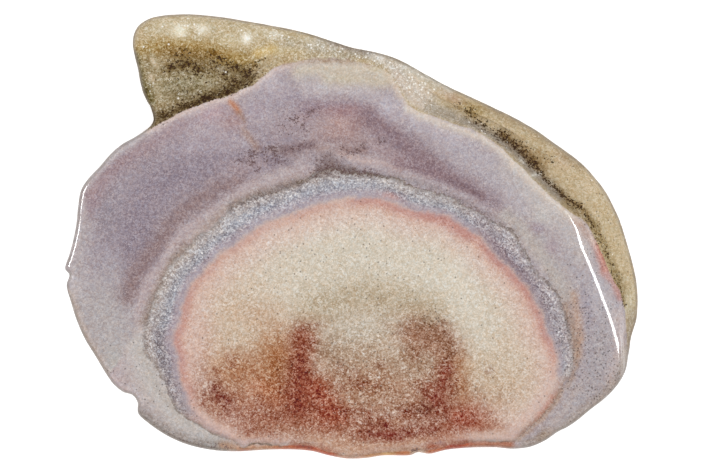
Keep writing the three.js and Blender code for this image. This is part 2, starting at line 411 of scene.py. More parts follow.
# The orange edge of the core, anticlockwise from the top, closed near the front edge
ORANGE_EDGE = (
    (0.0, 6.7), (-2.4, 6.5), (-5.6, 5.7), (-7.6, 5.2), (-9.7, 4.3), (-12.1, 3.4), (-14.2, 2.8),
    (-16.3, 1.7), (-18.0, 0.4), (-20.8, -1.6), (-22.9, -2.8), (-24.3, -4.4), (-25.6, -5.8),
    (-27.0, -7.0), (-28.1, -8.4), (-28.9, -10.1), (-29.5, -11.9), (-29.8, -13.6), (-30.3, -15.7),
    (-31.2, -17.4), (-31.0, -19.1), (-30.3, -20.9), (-30.2, -22.9), (-29.8, -25.4), (-28.8, -27.5),
    (-28.4, -29.2), (-27.2, -30.9), (-25.2, -32.6), (-22.5, -34.3), (-19.8, -35.5), (-16.5, -35.6),
    (-11.0, -35.9), (-6.5, -36.1), (-3.0, -37.3), (0.0, -37.9), (5.0, -37.2), (10.7, -36.6),
    (16.3, -36.0), (21.0, -35.3), (26.0, -35.1), (29.0, -33.6), (32.0, -30.9), (34.0, -28.2),
    (35.4, -25.6), (35.9, -22.6), (35.9, -20.9), (35.2, -18.8), (34.5, -17.4), (33.6, -15.7),
    (33.3, -13.9), (32.2, -11.9), (31.5, -10.5), (30.2, -8.4), (28.8, -7.0), (27.4, -5.3),
    (25.6, -3.9), (23.9, -2.0), (22.5, -0.2), (20.8, 0.9), (19.1, 1.8), (17.7, 3.0), (16.3, 3.7),
    (13.9, 4.0), (11.4, 4.4), (9.0, 5.1), (6.6, 6.1), (4.2, 6.8), (2.1, 6.8),
)

# The cloudy edge between the pale band outside the dark line and the plate's violet body, left to right
CLOUD_EDGE = (
    (-38.0, -17.5), (-37.6, -12.2), (-37.2, -10.0), (-36.2, -7.8), (-34.6, -5.7), (-33.6, -4.3),
    (-32.1, -1.8), (-30.1, 0.6), (-28.0, 2.7), (-24.5, 4.9), (-22.3, 6.6), (-19.6, 8.5),
    (-16.7, 10.4), (-12.6, 12.1), (-9.2, 12.6),
)

CLOUD_SIDE = ((-6, 12), (-12, -10), (-24, -50), (-50, -50), (-46, -30))  # closes its pale side
CLOUD_BLUR = 1.1  # width over which it changes
SMOOTHED = 3  # points of a contour's smooth curve for each of its own


def spot(x, y, half_length, half_width=None, turn=0):
    """The weight of a soft oval: 1 at its middle and about a third at its edge."""
    half_width = half_width or half_length
    c, s = math.cos(math.radians(turn)), math.sin(math.radians(turn))

    def weight(at):
        dx, dy = at[:, 0] - x, at[:, 1] - y
        return np.exp(-((dx * c + dy * s) / half_length) ** 2 - ((dy * c - dx * s) / half_width) ** 2)

    return weight


def streak(half_width, *path):
    """The weight of a soft streak along a path."""

    def weight(at):
        return np.exp(-(to_ring(at, np.array(path, float), closed=False) / half_width) ** 2)

    return weight


# The marks of each zone, each laid over those before it: where it lies, its colour as the eye sees it,
# from 0 to 255, and how much it covers
PLATE_BASE = (172, 160, 164)
PLATE_MARKS = (
    # left side
    (streak(6, (-38, -4), (-37, 3), (-34, 8.5), (-28, 11.5), (-21, 13.5), (-13, 13)),
     (146, 133, 143), 0.85),
    (streak(3, (-42, 10), (-44, 4), (-44, -3)), (160, 149, 157), 0.5),
    (streak(2.2, (-46.8, 8), (-47, 2), (-48, -5), (-47.5, -12), (-44, -19.5)), (184, 174, 174), 0.75),
    (streak(3, (-42, -6), (-44.5, -12), (-41, -16)), (176, 168, 172), 0.6),
    (streak(5, (-43, -13), (-41, -18), (-38, -24)), (179, 171, 170), 0.85),
    (streak(4, (-38, -27), (-34, -31), (-28, -35)), (168, 160, 156), 0.9),
    (streak(0.7, (-49, -10), (-46.6, -17), (-42.5, -24), (-38.5, -27.5)), (176, 154, 138), 0.5),
    (streak(1.7, (-39, -10.4), (-37.8, -7), (-36.2, -4.6), (-33.7, -1.3), (-31.2, 2.5), (-28.7, 4.8),
            (-25.9, 6.6), (-23.2, 8.2), (-19.6, 10)), (146, 124, 124), 0.85),
    (spot(-18.6, 12, 4, 1.8, 15), (172, 154, 157), 0.8),
    (spot(-28, 15.6, 4, 1.4, 15), (172, 160, 170), 0.5),
    (spot(-42.4, 3.2, 1.8, 2.6), (146, 136, 144), 0.5),
    (spot(-41.2, -21.8, 1.6, 3, 20), (190, 186, 180), 0.6),
    (spot(-40.4, -9.6, 1, 1), (166, 154, 156), 0.6),
    (spot(-10, 14, 2.4, 1), (142, 122, 122), 0.6),
    (spot(-20, 16, 2.2, 1.5), (180, 168, 172), 0.6),
    (spot(-45, 5.6, 1.2, 2.4, -20), (150, 124, 132), 0.5),
    (spot(-13, 14.9, 1.6, 0.8), (156, 136, 130), 0.6),
    (spot(-5, 15.2, 1.8, 0.8), (176, 148, 138), 0.6),
    # back left edge
    (streak(1.6, (-45, 7.5), (-42, 11.3), (-38, 14.3), (-34, 16.8), (-29.5, 19.2)), (164, 141, 145), 0.75),
    (streak(0.8, (-46.5, 9), (-43, 12.8), (-39, 15.9), (-35.5, 18)), (190, 182, 182), 0.7),
    (spot(-23, 18.5, 8, 4, 12), (178, 164, 170), 0.8),
    (streak(0.8, (-34, 18.9), (-30.7, 20.6), (-26, 22.5), (-20, 24.4), (-16.8, 26), (-13.6, 28.6),
            (-11, 29.4)), (198, 182, 181), 0.8),
    (spot(-24.4, 21.3, 3, 1.3, 20), (190, 162, 166), 0.7),
    (spot(-20.8, 20, 2.2, 1.6), (168, 138, 137), 0.7),
    (spot(-16.6, 22, 2.2, 1.6), (182, 168, 177), 0.6),
    # back middle
    (streak(2.2, (-14, 24.6), (-8, 24)), (162, 149, 158), 0.7),
    (streak(1.6, (-8, 22), (-3, 22.6), (2, 22)), (150, 128, 136), 0.7),
    (spot(-11, 19, 4, 3), (168, 151, 155), 0.6),
    (spot(-9, 20.4, 2.2, 1.1), (180, 160, 164), 0.5),
    (spot(-2, 18.4, 4.8, 2.6), (176, 147, 143), 0.9),
    (spot(-1.5, 21.5, 3.2, 1.2), (164, 132, 134), 0.8),
    (spot(-2.4, 19.9, 1.4, 0.9), (190, 162, 158), 0.7),
    (spot(0.6, 19.8, 1.6, 1.6), (165, 134, 132), 0.6),
    (spot(4.2, 18, 1.3, 1), (170, 147, 150), 0.5),
    (spot(6, 21.2, 1.6, 1.2), (184, 173, 183), 0.5),
    (streak(1.6, (-8, 25.8), (-3, 25.8), (2, 25.2), (5.5, 23)), (190, 180, 183), 0.85),
    (streak(1.6, (-9, 28.9), (-4, 29.2), (0, 29.1), (4, 29), (7, 28)), (206, 195, 179), 0.9),
    (streak(1, (6.6, 28.4), (7.6, 26.4), (8.6, 24.6), (10.4, 22.8), (13, 21.6)), (212, 196, 180), 0.85),
    (spot(-1.6, 27.6, 1.8, 0.5), (204, 185, 160), 0.6),
    (spot(4.2, 29.3, 1.2, 0.6), (196, 178, 144), 0.6),
    (streak(0.45, (-12, 29.9), (-7, 30.6), (-2, 30.6), (3, 30.2)), (166, 144, 124), 0.8),
    (streak(0.7, (-11.6, 14.8), (-9, 15.5), (-6.6, 15.8)), (128, 106, 108), 0.8),
    (spot(-8.6, 13.2, 1.9, 1), (184, 170, 172), 0.85),
    (streak(0.8, (-12, 8.6), (-8.4, 10.2), (-6.6, 11.3), (-3, 11.6), (0.4, 11.1)), (122, 107, 105), 0.85),
    (streak(0.5, (0, 10.9), (3, 10.6), (6, 10.2), (8.4, 9.5)), (120, 106, 102), 0.7),
    (spot(-3.9, 12.6, 2.2, 1.7), (136, 118, 117), 0.85),
    (streak(0.7, (-2, 14.6), (0, 13.6), (3, 13.1), (6, 12.5), (9.4, 11)), (194, 172, 168), 0.85),
    (streak(0.8, (-1.4, 15.1), (2.2, 15)), (152, 128, 126), 0.8),
    (streak(0.35, (-7, 16.5), (-2, 16.8), (2.4, 16.4)), (146, 122, 122), 0.6),
    (streak(1.4, (4, 15.4), (8, 13.6)), (166, 143, 145), 0.7),
    (spot(-14, 26.2, 2.6, 2), (190, 179, 184), 0.85),
    (streak(1.3, (-4, 27.3), (1, 27.3), (5.4, 26.8)), (204, 192, 172), 0.8),
    # right side
    (streak(2.2, (3.2, 20.6), (7, 17.7), (9.6, 15.5), (12.6, 13), (16.6, 10.4), (20.8, 7.6), (24.5, 5.4)),
     (138, 115, 121), 0.85),
    (streak(2, (6, 22.5), (10, 21), (14, 18.9), (19, 16)), (190, 180, 186), 0.75),
    (streak(3, (20, 14.5), (25, 10.8), (30, 5.4)), (182, 173, 178), 0.75),
    (streak(2.8, (28, 12), (33, 6), (38, 1.5), (40, -3)), (194, 186, 183), 0.8),
    (streak(2, (31, 1), (34.5, -4.5), (38, -8.5)), (180, 172, 172), 0.7),
    (spot(33, 3.4, 1.6, 2), (200, 193, 187), 0.75),
    (spot(32, 1.4, 1.4, 1), (158, 138, 150), 0.6),
    (spot(34.6, -2, 1.2, 1), (160, 140, 150), 0.6),
    (streak(0.8, (9.8, 22.2), (12, 20.8), (18, 18.7), (22.3, 17), (26, 14.6), (29.2, 11.6), (32.2, 8.4),
            (36.4, 4.7), (39.3, 2.5)), (214, 202, 191), 0.9),
    (streak(2.5, (42.5, -8), (44.5, -14)), (184, 178, 181), 0.7),
    (streak(1.3, (40.6, -11), (41.2, -15), (41, -20)), (166, 157, 165), 0.7),
    (streak(3, (43.5, -18), (42.5, -25), (37, -32)), (172, 164, 165), 0.7),
    (streak(1.2, (46.2, -14), (46.6, -20), (45, -25)), (192, 177, 174), 0.75),
    (streak(0.8, (49, -15), (48.5, -19), (47.2, -22.6)), (164, 150, 136), 0.75),
    (streak(0.9, (38.5, -10.2), (39, -14), (39.5, -18), (39.1, -21)), (188, 157, 138), 0.85),
    (streak(0.8, (38.8, 2.4), (40.4, 1), (42, -1)), (190, 162, 150), 0.75),
    (streak(0.8, (42.9, -2), (43.4, -3.6), (44, -5.8)), (176, 108, 94), 0.85),
    (streak(0.65, (44.2, -6.4), (45.6, -8.4), (46.6, -10.6)), (186, 138, 130), 0.75),
    (streak(1, (48, -20), (46.5, -25), (42, -29.4), (36, -33.8), (30, -36.4)), (158, 143, 132), 0.7),
    # the pale band outside the dark line
    (streak(0.9, (9.4, 11), (13, 9.8), (17, 8.2), (20.6, 6.5), (24.5, 4.2), (29, 2), (31, -1.6),
            (34, -6.2)), (184, 172, 174), 0.7),
    (streak(0.5, (8, 10.6), (14, 8.3), (20, 5.7), (26, 2.6), (28.6, 0.6)), (138, 127, 126), 0.4),
    (streak(1.4, (26.8, 3.6), (28.6, 2.4), (31.6, -1.6), (34.6, -6), (37, -10.6)), (184, 174, 167), 0.8),
    (streak(0.7, (16.8, 9.9), (20.4, 8.1), (22.6, 6.7)), (134, 112, 117), 0.75),
    (streak(1, (8, 12.8), (10.4, 12.1), (12.6, 11.2), (15, 10.4)), (140, 114, 119), 0.6),
    (spot(24.4, 5.8, 1.1, 1), (168, 156, 162), 0.5),
    (streak(1.2, (37.6, -12), (38.2, -17), (38, -22)), (174, 156, 150), 0.7),
    (streak(0.5, (36.9, -11.8), (38.2, -15.4), (39.1, -19.4), (39, -22.6), (37.6, -26.2)),
     (158, 132, 114), 0.6),
    (streak(1, (39.4, -26.6), (37, -30), (34, -33.4)), (182, 168, 164), 0.6),
    (streak(0.45, (36.7, -26.7), (35, -29.5), (32.4, -32.5), (28.9, -35.4)), (182, 150, 126), 0.65),
    (spot(33.4, -34.6, 1.4, 0.8, 30), (142, 116, 92), 0.6),
    # front edge
    (streak(0.9, (-20.5, -37), (-17, -36.9), (-12.4, -36.9)), (184, 136, 106), 0.97),
    (streak(0.3, (-19.6, -37.4), (-17.4, -37.4)), (176, 92, 66), 0.8),
    (spot(-13, -36.9, 0.8, 0.4), (194, 108, 68), 0.8),
    (streak(0.9, (-11.4, -36.8), (-9, -36.8), (-6.8, -37.1)), (184, 94, 56), 0.98),
    (streak(0.35, (-9.4, -36.4), (-7, -36.6)), (138, 56, 40), 0.8),
    (streak(0.8, (-6.6, -37.2), (-4.6, -37.7), (-2.8, -38.3)), (176, 80, 48), 0.98),
    (streak(0.8, (-2.2, -38.4), (0, -38.6), (2.4, -38.5)), (186, 136, 110), 0.98),
    (streak(0.8, (3, -38.2), (5.4, -38)), (190, 136, 92), 0.98),
    (streak(0.7, (5.8, -38), (7.4, -38)), (200, 150, 90), 0.98),
    (streak(0.7, (8, -38), (10, -37.8)), (180, 106, 62), 0.98),
    (streak(0.9, (11, -37.7), (12.8, -37.9)), (188, 156, 130), 0.95),
    (streak(0.8, (13.8, -37.5), (15, -37.2), (16.6, -37)), (180, 96, 58), 0.98),
    (streak(0.95, (17.2, -36.8), (18.6, -36.6), (20.4, -36.2)), (160, 66, 44), 0.98),
    (spot(19.6, -36.3, 0.6, 0.4), (196, 106, 64), 0.7),
    (streak(0.9, (21.2, -36.3), (24, -36.2), (27.4, -36.4)), (168, 106, 80), 0.95),
)

EDGE_LIGHT = (210, 191, 184)
VEIN_MARKS = (
    (streak(0.5, (-21.1, 23.4), (-20.4, 22.5), (-19.6, 21.5)), (192, 134, 104), 0.9),
    (streak(0.4, (-19.6, 21.5), (-18.7, 20.1)), (160, 130, 116), 0.7),
    (streak(0.7, (-18.8, 18.3), (-17.6, 16.9), (-16.6, 15.4)), (170, 142, 130), 0.65),
)

CLOUD_BASE = (184, 168, 169)
CLOUD_MARKS = (
    (streak(3.5, (-37, -19), (-34.6, -26), (-30, -31.8), (-24, -35)), (194, 187, 182), 0.9),
    (streak(0.9, (-35.9, -15), (-34.2, -10), (-31.5, -4.8), (-29, -2)), (151, 135, 126), 0.85),
    (streak(0.9, (-27.4, -0.4), (-21.4, 5.3)), (174, 158, 151), 0.75),
    (streak(0.9, (-20, 6), (-14.8, 7.8), (-9.4, 9.8)), (157, 141, 133), 0.8),
    (streak(0.6, (-21, 5), (-15.4, 7.4), (-11, 8.6), (-8, 9.8), (-5.4, 10.9)), (142, 128, 124), 0.8),
    (streak(0.8, (-12.6, 8.2), (-10.6, 9)), (130, 115, 112), 0.7),
    # painted shade along the bottom-left rim
    (streak(1.5, (-36.8, -31.4), (-33, -34.3), (-28.5, -36.4), (-23, -37.3)), (128, 119, 112), 0.75),
    (streak(0.8, (-22.4, -36.5), (-19, -37)), (172, 136, 112), 0.9),
    (streak(2, (-15, 10.4), (-10, 12.4)), (178, 163, 163), 0.6),
    (streak(0.6, (-36.6, -20), (-34.6, -25), (-31.4, -29.6), (-27.8, -32.8)), (172, 161, 152), 0.3),
)

RING_OUTER = (182, 174, 173)
RING_MIDDLE = (167, 165, 171)
LAVENDER = (173, 160, 166)
RING_MARKS = (
    (streak(1.1, (-21, 1.8), (-14, 5), (-8, 7.4), (-2, 8.8), (4, 8.8)), (180, 179, 186), 0.8),
    (streak(0.6, (-21.6, 4.8), (-16.2, 7.1), (-12.2, 8.3), (-9, 9.2), (-6, 10.3), (-4, 11)),
     (144, 131, 128), 0.85),
    (streak(0.8, (-24, -2.6), (-17, 2.4), (-10, 5.6), (-4, 7), (3, 7.6), (9, 6.4)), (176, 165, 172), 0.7),
    (streak(0.7, (-34.8, -12.6), (-33, -8.4), (-30.6, -5), (-27.4, -1.4)), (192, 180, 172), 0.6),
    (streak(2.4, (22, 2.6), (26, -1.5), (32, -8)), (164, 152, 157), 0.6),
    (streak(0.9, (30.8, -4.4), (33, -7.4)), (174, 166, 168), 0.7),
    (streak(0.8, (22.6, 0.6), (24.6, -1.4)), (158, 138, 142), 0.6),
    (streak(0.9, (25, -1.6), (27.4, -4.4), (29.8, -7), (32.4, -10.6), (34, -14)), (148, 131, 137), 0.85),
    (streak(2.6, (33.6, -11), (36, -18)), (163, 152, 156), 0.7),
    (streak(0.7, (31.8, -6.6), (34.4, -9.8), (36.2, -13.2), (37.4, -18), (37.6, -22)),
     (190, 181, 183), 0.65),
    (streak(1.2, (-33.8, -17), (-32.6, -22), (-31.2, -26)), (142, 133, 137), 0.8),
    (streak(0.6, (-35.8, -15.6), (-35.4, -20), (-33.4, -24)), (186, 174, 168), 0.65),
    (streak(0.8, (-30.6, -14.4), (-32, -18), (-31.2, -22), (-30.6, -25.6), (-29.4, -28.6)),
     (174, 158, 163), 0.5),
    (streak(1.2, (-31.2, -26.4), (-29.6, -29.6), (-28.2, -31.2)), (160, 148, 150), 0.8),
    (streak(1.5, (-27, -31.6), (-24, -33.8), (-19, -35.8)), (188, 161, 155), 0.9),
    (streak(2, (36, -26), (32, -31), (27, -35)), (194, 166, 156), 0.9),
    (spot(-18.8, -35.9, 1.1, 0.8), (206, 182, 176), 0.9),
    (streak(1, (-17, -36), (-12.4, -36.1)), (196, 166, 156), 0.95),
    (streak(0.9, (-10, -36.2), (-6, -36.6), (-2.6, -37.8)), (174, 112, 86), 0.95),
    (streak(1, (-1, -38), (5, -37.5), (12.4, -37)), (188, 146, 122), 0.95),
    (streak(0.9, (13.8, -36.9), (20.6, -35.9)), (164, 90, 64), 0.95),
    (streak(0.8, (34.8, -28.4), (32.8, -31.4)), (198, 148, 134), 0.7),
    (streak(0.4, (36.2, -27.2), (34.6, -29.5), (32.2, -32.2), (28.8, -35.1)), (190, 146, 124), 0.55),
    (spot(6.6, 6.9, 1.8, 0.7, -15), (200, 160, 154), 0.7),
    (streak(0.7, (21.6, -35.2), (28.4, -34.9)), (200, 172, 162), 0.9),
)

CORE_BASE = (212, 202, 186)
CORE_MARKS = (
    (streak(2.6, (-16, -2), (-8, 1.6), (0, 3.4), (9, 2)), (221, 211, 198), 0.6),
    (spot(-21, -12, 9, 9), (206, 184, 163), 0.75),
    (spot(-27, -19.5, 3.4, 7), (203, 171, 158), 0.8),
    (spot(17.5, -8, 6, 5), (218, 209, 194), 0.7),
    (spot(27, -26, 8, 6), (198, 174, 150), 0.8),
    (spot(29, -17, 5, 8), (208, 188, 168), 0.6),
    (streak(3.4, (-6, -12.6), (2, -10.4), (8, -11.6), (13, -13)), (186, 170, 146), 0.85),
    (spot(-16.5, -13.6, 5.5, 2.2), (198, 170, 146), 0.75),
    (spot(-14, -17.4, 3, 2.4), (196, 160, 132), 0.6),
    (spot(-7, -15, 3, 1.4), (176, 150, 126), 0.75),
    (spot(-19.5, -24, 7.5, 4.6), (182, 136, 104), 0.95),
    (streak(3, (-13, -20.4), (-13.4, -22.4), (-14, -26)), (174, 122, 85), 0.9),
    (spot(-18, -30, 10, 4), (176, 126, 101), 0.95),
    (streak(5, (-19, -33), (-10, -32), (2, -33.5), (13, -34), (20, -33)), (172, 124, 103), 0.9),
    (spot(4, -20.5, 9, 7), (186, 164, 144), 0.95),
    (spot(-4, -20.6, 3, 3.6), (160, 132, 110), 0.8),
    (spot(11.6, -21, 3.4, 4.2), (158, 126, 102), 0.85),
    (spot(3, -26.5, 9, 4.5), (176, 139, 114), 0.9),
    (spot(2, -16, 6, 2.4), (200, 188, 172), 0.8),
    (spot(7, -19, 2.6, 2.2), (192, 172, 152), 0.7),
    (streak(2.4, (-8.6, -18), (-9, -24), (-9.4, -30)), (156, 94, 70), 0.9),
    (streak(2.6, (-6, -26.6), (-3.6, -31)), (162, 92, 68), 0.85),
    (streak(3, (11, -17), (14, -17.6), (16.4, -20), (16.4, -24), (14.5, -28), (10.5, -30.3)),
     (170, 128, 105), 0.85),
    (streak(1.6, (18.6, -22), (19, -25), (19.2, -28)), (176, 132, 102), 0.8),
    (spot(20.4, -31.6, 3.8, 2.4), (172, 106, 82), 0.85),
    (spot(25, -33, 2.6, 1.3), (182, 134, 111), 0.8),
    (streak(0.9, (4, -31.2), (8, -31)), (176, 142, 124), 0.6),
    (streak(0.8, (9.6, -32.5), (13, -32.1), (16.6, -31.4)), (176, 138, 122), 0.7),
    (spot(-5.2, -22.5, 1.5, 1.3), (204, 178, 160), 0.7),
    (spot(8.8, -25.8, 1.6, 0.9), (200, 166, 142), 0.6),
    (spot(0.4, -28.5, 1.4, 0.8), (190, 158, 136), 0.6),
    (spot(13.4, -22, 0.9, 1.2), (176, 150, 130), 0.7),
    (spot(-16.5, -26.2, 1.6, 1), (198, 148, 124), 0.6),
    (streak(1, (-29, -26.8), (-27.6, -30), (-25, -32.6), (-21, -34.6)), (208, 178, 170), 0.85),
    (spot(-12.6, -15.6, 2.4, 1), (184, 148, 122), 0.5),
    (spot(20.4, -23, 1.6, 1.6), (184, 150, 118), 0.5),
    (spot(8.2, -18.4, 1.7, 1.3), (200, 180, 164), 0.5),
    (spot(-14.8, -26.6, 2, 1.5), (206, 148, 112), 0.6),
    (spot(-12.6, -28.6, 2, 1.4), (186, 112, 76), 0.5),
    (streak(1.3, (35, -24.4), (33.6, -27.6), (31, -31), (28, -33.6)), (205, 178, 168), 0.9),
    (streak(0.8, (12, 4.2), (16.6, 2.8), (19.6, 1)), (192, 144, 130), 0.6),
    (streak(0.9, (-19, -35.4), (-13, -35.4), (-9, -35.7)), (194, 160, 146), 0.8),
    (streak(1.3, (-7, -35.8), (-3, -36.6), (2, -37), (10, -36.4), (13, -35.8)), (194, 156, 134), 0.85),
    (streak(1, (14, -35.6), (19.6, -35.2)), (182, 138, 120), 0.8),
    (streak(0.8, (20.4, -35.1), (24, -34.8), (28.6, -34.5)), (200, 172, 160), 0.85),
)

# Where the core's crystals are stained, and how densely
STAIN_MARKS = (
    (streak(1.8, (-12.8, -20), (-13, -22), (-12.8, -25), (-12.4, -28)), 0.35),
    (streak(3, (-17.4, -23), (-15, -25.5)), 0.2),
    (spot(-21, -21.6, 1.2, 1.8), 0.4),
    (spot(-26.6, -28, 1.6, 3.4), 0.2),
    (spot(-25.6, -24.4, 2, 3), 0.12),
    (spot(-24, -23.6, 1.2, 0.9), 0.35),
    (spot(-16, -28.6, 0.8, 1.2), 0.45),
    (spot(-18, -31, 5, 2), 0.3),
    (spot(-13.6, -31.6, 3.4, 1.6), 0.4),
    (spot(-18, -33.8, 1.5, 1), 0.5),
    (spot(-14.5, -34.4, 1.6, 0.9), 0.4),
    (streak(1.2, (-23.6, -26.2), (-22.8, -27.8), (-21.4, -29)), 0.65),
    (spot(-23.2, -28, 3, 2.4), 0.4),
    (spot(-25.2, -29, 1.6, 1.6), 0.3),
    (spot(-22.4, -31.2, 2, 1.1), 0.3),
    (streak(1.5, (-8.8, -17), (-8.6, -19.4), (-9, -21.6)), 0.6),
    (spot(-8.5, -19, 1.6, 1.4), 0.35),
    (streak(2.3, (-9, -23.6), (-9, -27), (-8.8, -29.6)), 0.75),
    (spot(-11.4, -26.6, 1.5, 2.2), 0.4),
    (spot(-10.6, -30, 2, 1.4), 0.4),
    (streak(1.9, (-6, -27), (-4.6, -30), (-1.4, -31)), 0.65),
    (spot(-5.5, -32.4, 4, 1.2), 0.35),
    (spot(-2, -22.8, 1.2, 1.2), 0.35),
    (spot(0.8, -25.6, 1.9, 1.2), 0.55),
    (spot(-2, -26.6, 1, 1.4), 0.25),
    (spot(5, -22.4, 1.2, 0.8), 0.35),
    (spot(4.2, -26, 1.2, 0.7), 0.3),
    (spot(5, -27, 7, 4), 0.15),
    (streak(1.2, (8.8, -16.4), (11, -16), (13, -15.8)), 0.4),
    (streak(1.8, (13, -17.6), (14.6, -18.6)), 0.4),
    (streak(1.5, (15.4, -16.2), (16.8, -18), (17.2, -20.5), (16.6, -23)), 0.5),
    (spot(11, -20.5, 1.2, 1.2), 0.35),
    (spot(12, -26, 1.4, 1.3), 0.45),
    (spot(0.2, -23.8, 1.5, 0.9), 0.3),
    (spot(-6.2, -15.6, 1.4, 0.7), 0.35),
    (spot(-6.6, -18.4, 0.8, 1.3), 0.35),
    (spot(6, -15.6, 1, 0.6), 0.2),
    (streak(1.7, (16.2, -23.6), (15.8, -26), (14.8, -28.4)), 0.7),
    (spot(13.4, -26.8, 1.3, 1.4), 0.65),
    (spot(15, -29, 1.4, 1), 0.5),
    (streak(1.3, (14.4, -29.8), (12.4, -30.2), (9.6, -30.6)), 0.7),
    (streak(1.7, (17.8, -26), (17, -29.5)), 0.4),
    (spot(14.6, -30.4, 3.4, 1.5), 0.45),
    (spot(2.4, -30.8, 2.6, 1.6), 0.4),
    (spot(3.4, -32.6, 1.6, 1), 0.4),
    (spot(18.2, -31.3, 1.6, 1.3), 0.7),
    (spot(20.8, -31.2, 2.2, 1.8), 0.5),
    (spot(24, -31.2, 1.1, 0.9), 0.4),
    (spot(23.4, -33, 2.4, 0.9), 0.3),
    (spot(21, -33, 2, 1), 0.3),
    (spot(22, -28.4, 1.6, 1.6), 0.15),
    (spot(5.7, -32.7, 1.3, 1.2), 0.7),
    (spot(6.4, -34.6, 2.4, 1.2), 0.75),
    (streak(1.2, (1, -34.4), (7, -34.8), (12, -34), (17, -33.2), (19.4, -32.4)), 0.6),
    (spot(13, -14.9, 1.5, 0.9), 0.5),
    (spot(26.6, -28, 2, 1.4), 0.2),
    (spot(23.6, -23.6, 0.9, 0.8), 0.3),
)

STAIN_BASE = (140, 74, 52)
STAIN_TONES = (
    (streak(2.6, (-13.2, -16), (-13.2, -21), (-14, -25)), (146, 84, 44), 0.9),
    (spot(-18, -30, 6, 4), (138, 74, 53), 0.7),
    (streak(2.2, (-8, -15.5), (-9, -24), (-9.6, -30)), (132, 61, 45), 0.9),
    (streak(2.4, (-6, -26.5), (-3.6, -31.6)), (146, 64, 42), 0.85),
    (streak(2, (-24.6, -25.6), (-21, -29.4)), (122, 54, 42), 0.9),
    (spot(2, -18.6, 8, 4.5), (138, 112, 92), 0.85),
    (streak(2.6, (5, -15.4), (12, -16), (15.5, -18), (17, -20.5)), (126, 86, 62), 0.9),
    (streak(2, (16.5, -23.6), (14.6, -28)), (132, 56, 41), 0.9),
    (spot(12.4, -30, 3, 1.2), (114, 60, 46), 0.9),
    (spot(20, -31.4, 3.8, 2.2), (150, 64, 44), 0.9),
    (streak(1.4, (3, -34), (8, -34.4), (14, -33.6)), (128, 56, 45), 0.9),
    (spot(14, -14.2, 2, 1.2), (112, 94, 58), 0.85),
    (spot(25, -27, 6, 4), (158, 122, 92), 0.9),
)

# How dark the thin line round the ring is
LINE_BASE = 0.12
LINE_MARKS = (
    (streak(4, (-36, -23), (-31, -31), (-20, -36)), 0.48),
    (streak(1, (-18, -36.2), (-13, -36.3)), 0.8),
    (streak(3, (20, -36), (28, -35), (35, -27)), 0.4),
    (streak(3, (-8, 9.6), (0, 10.6), (9, 9.4)), 0.7),
    (streak(3, (14, 8), (23, 4.2), (29, -1)), 0.42),
    (streak(3, (29, -1), (36, -10), (38, -20)), 0.45),
)

ORANGE_RIM = (188, 140, 132)
PEACH_HALO = (207, 172, 159)
PINK_HALO = (213, 186, 175)

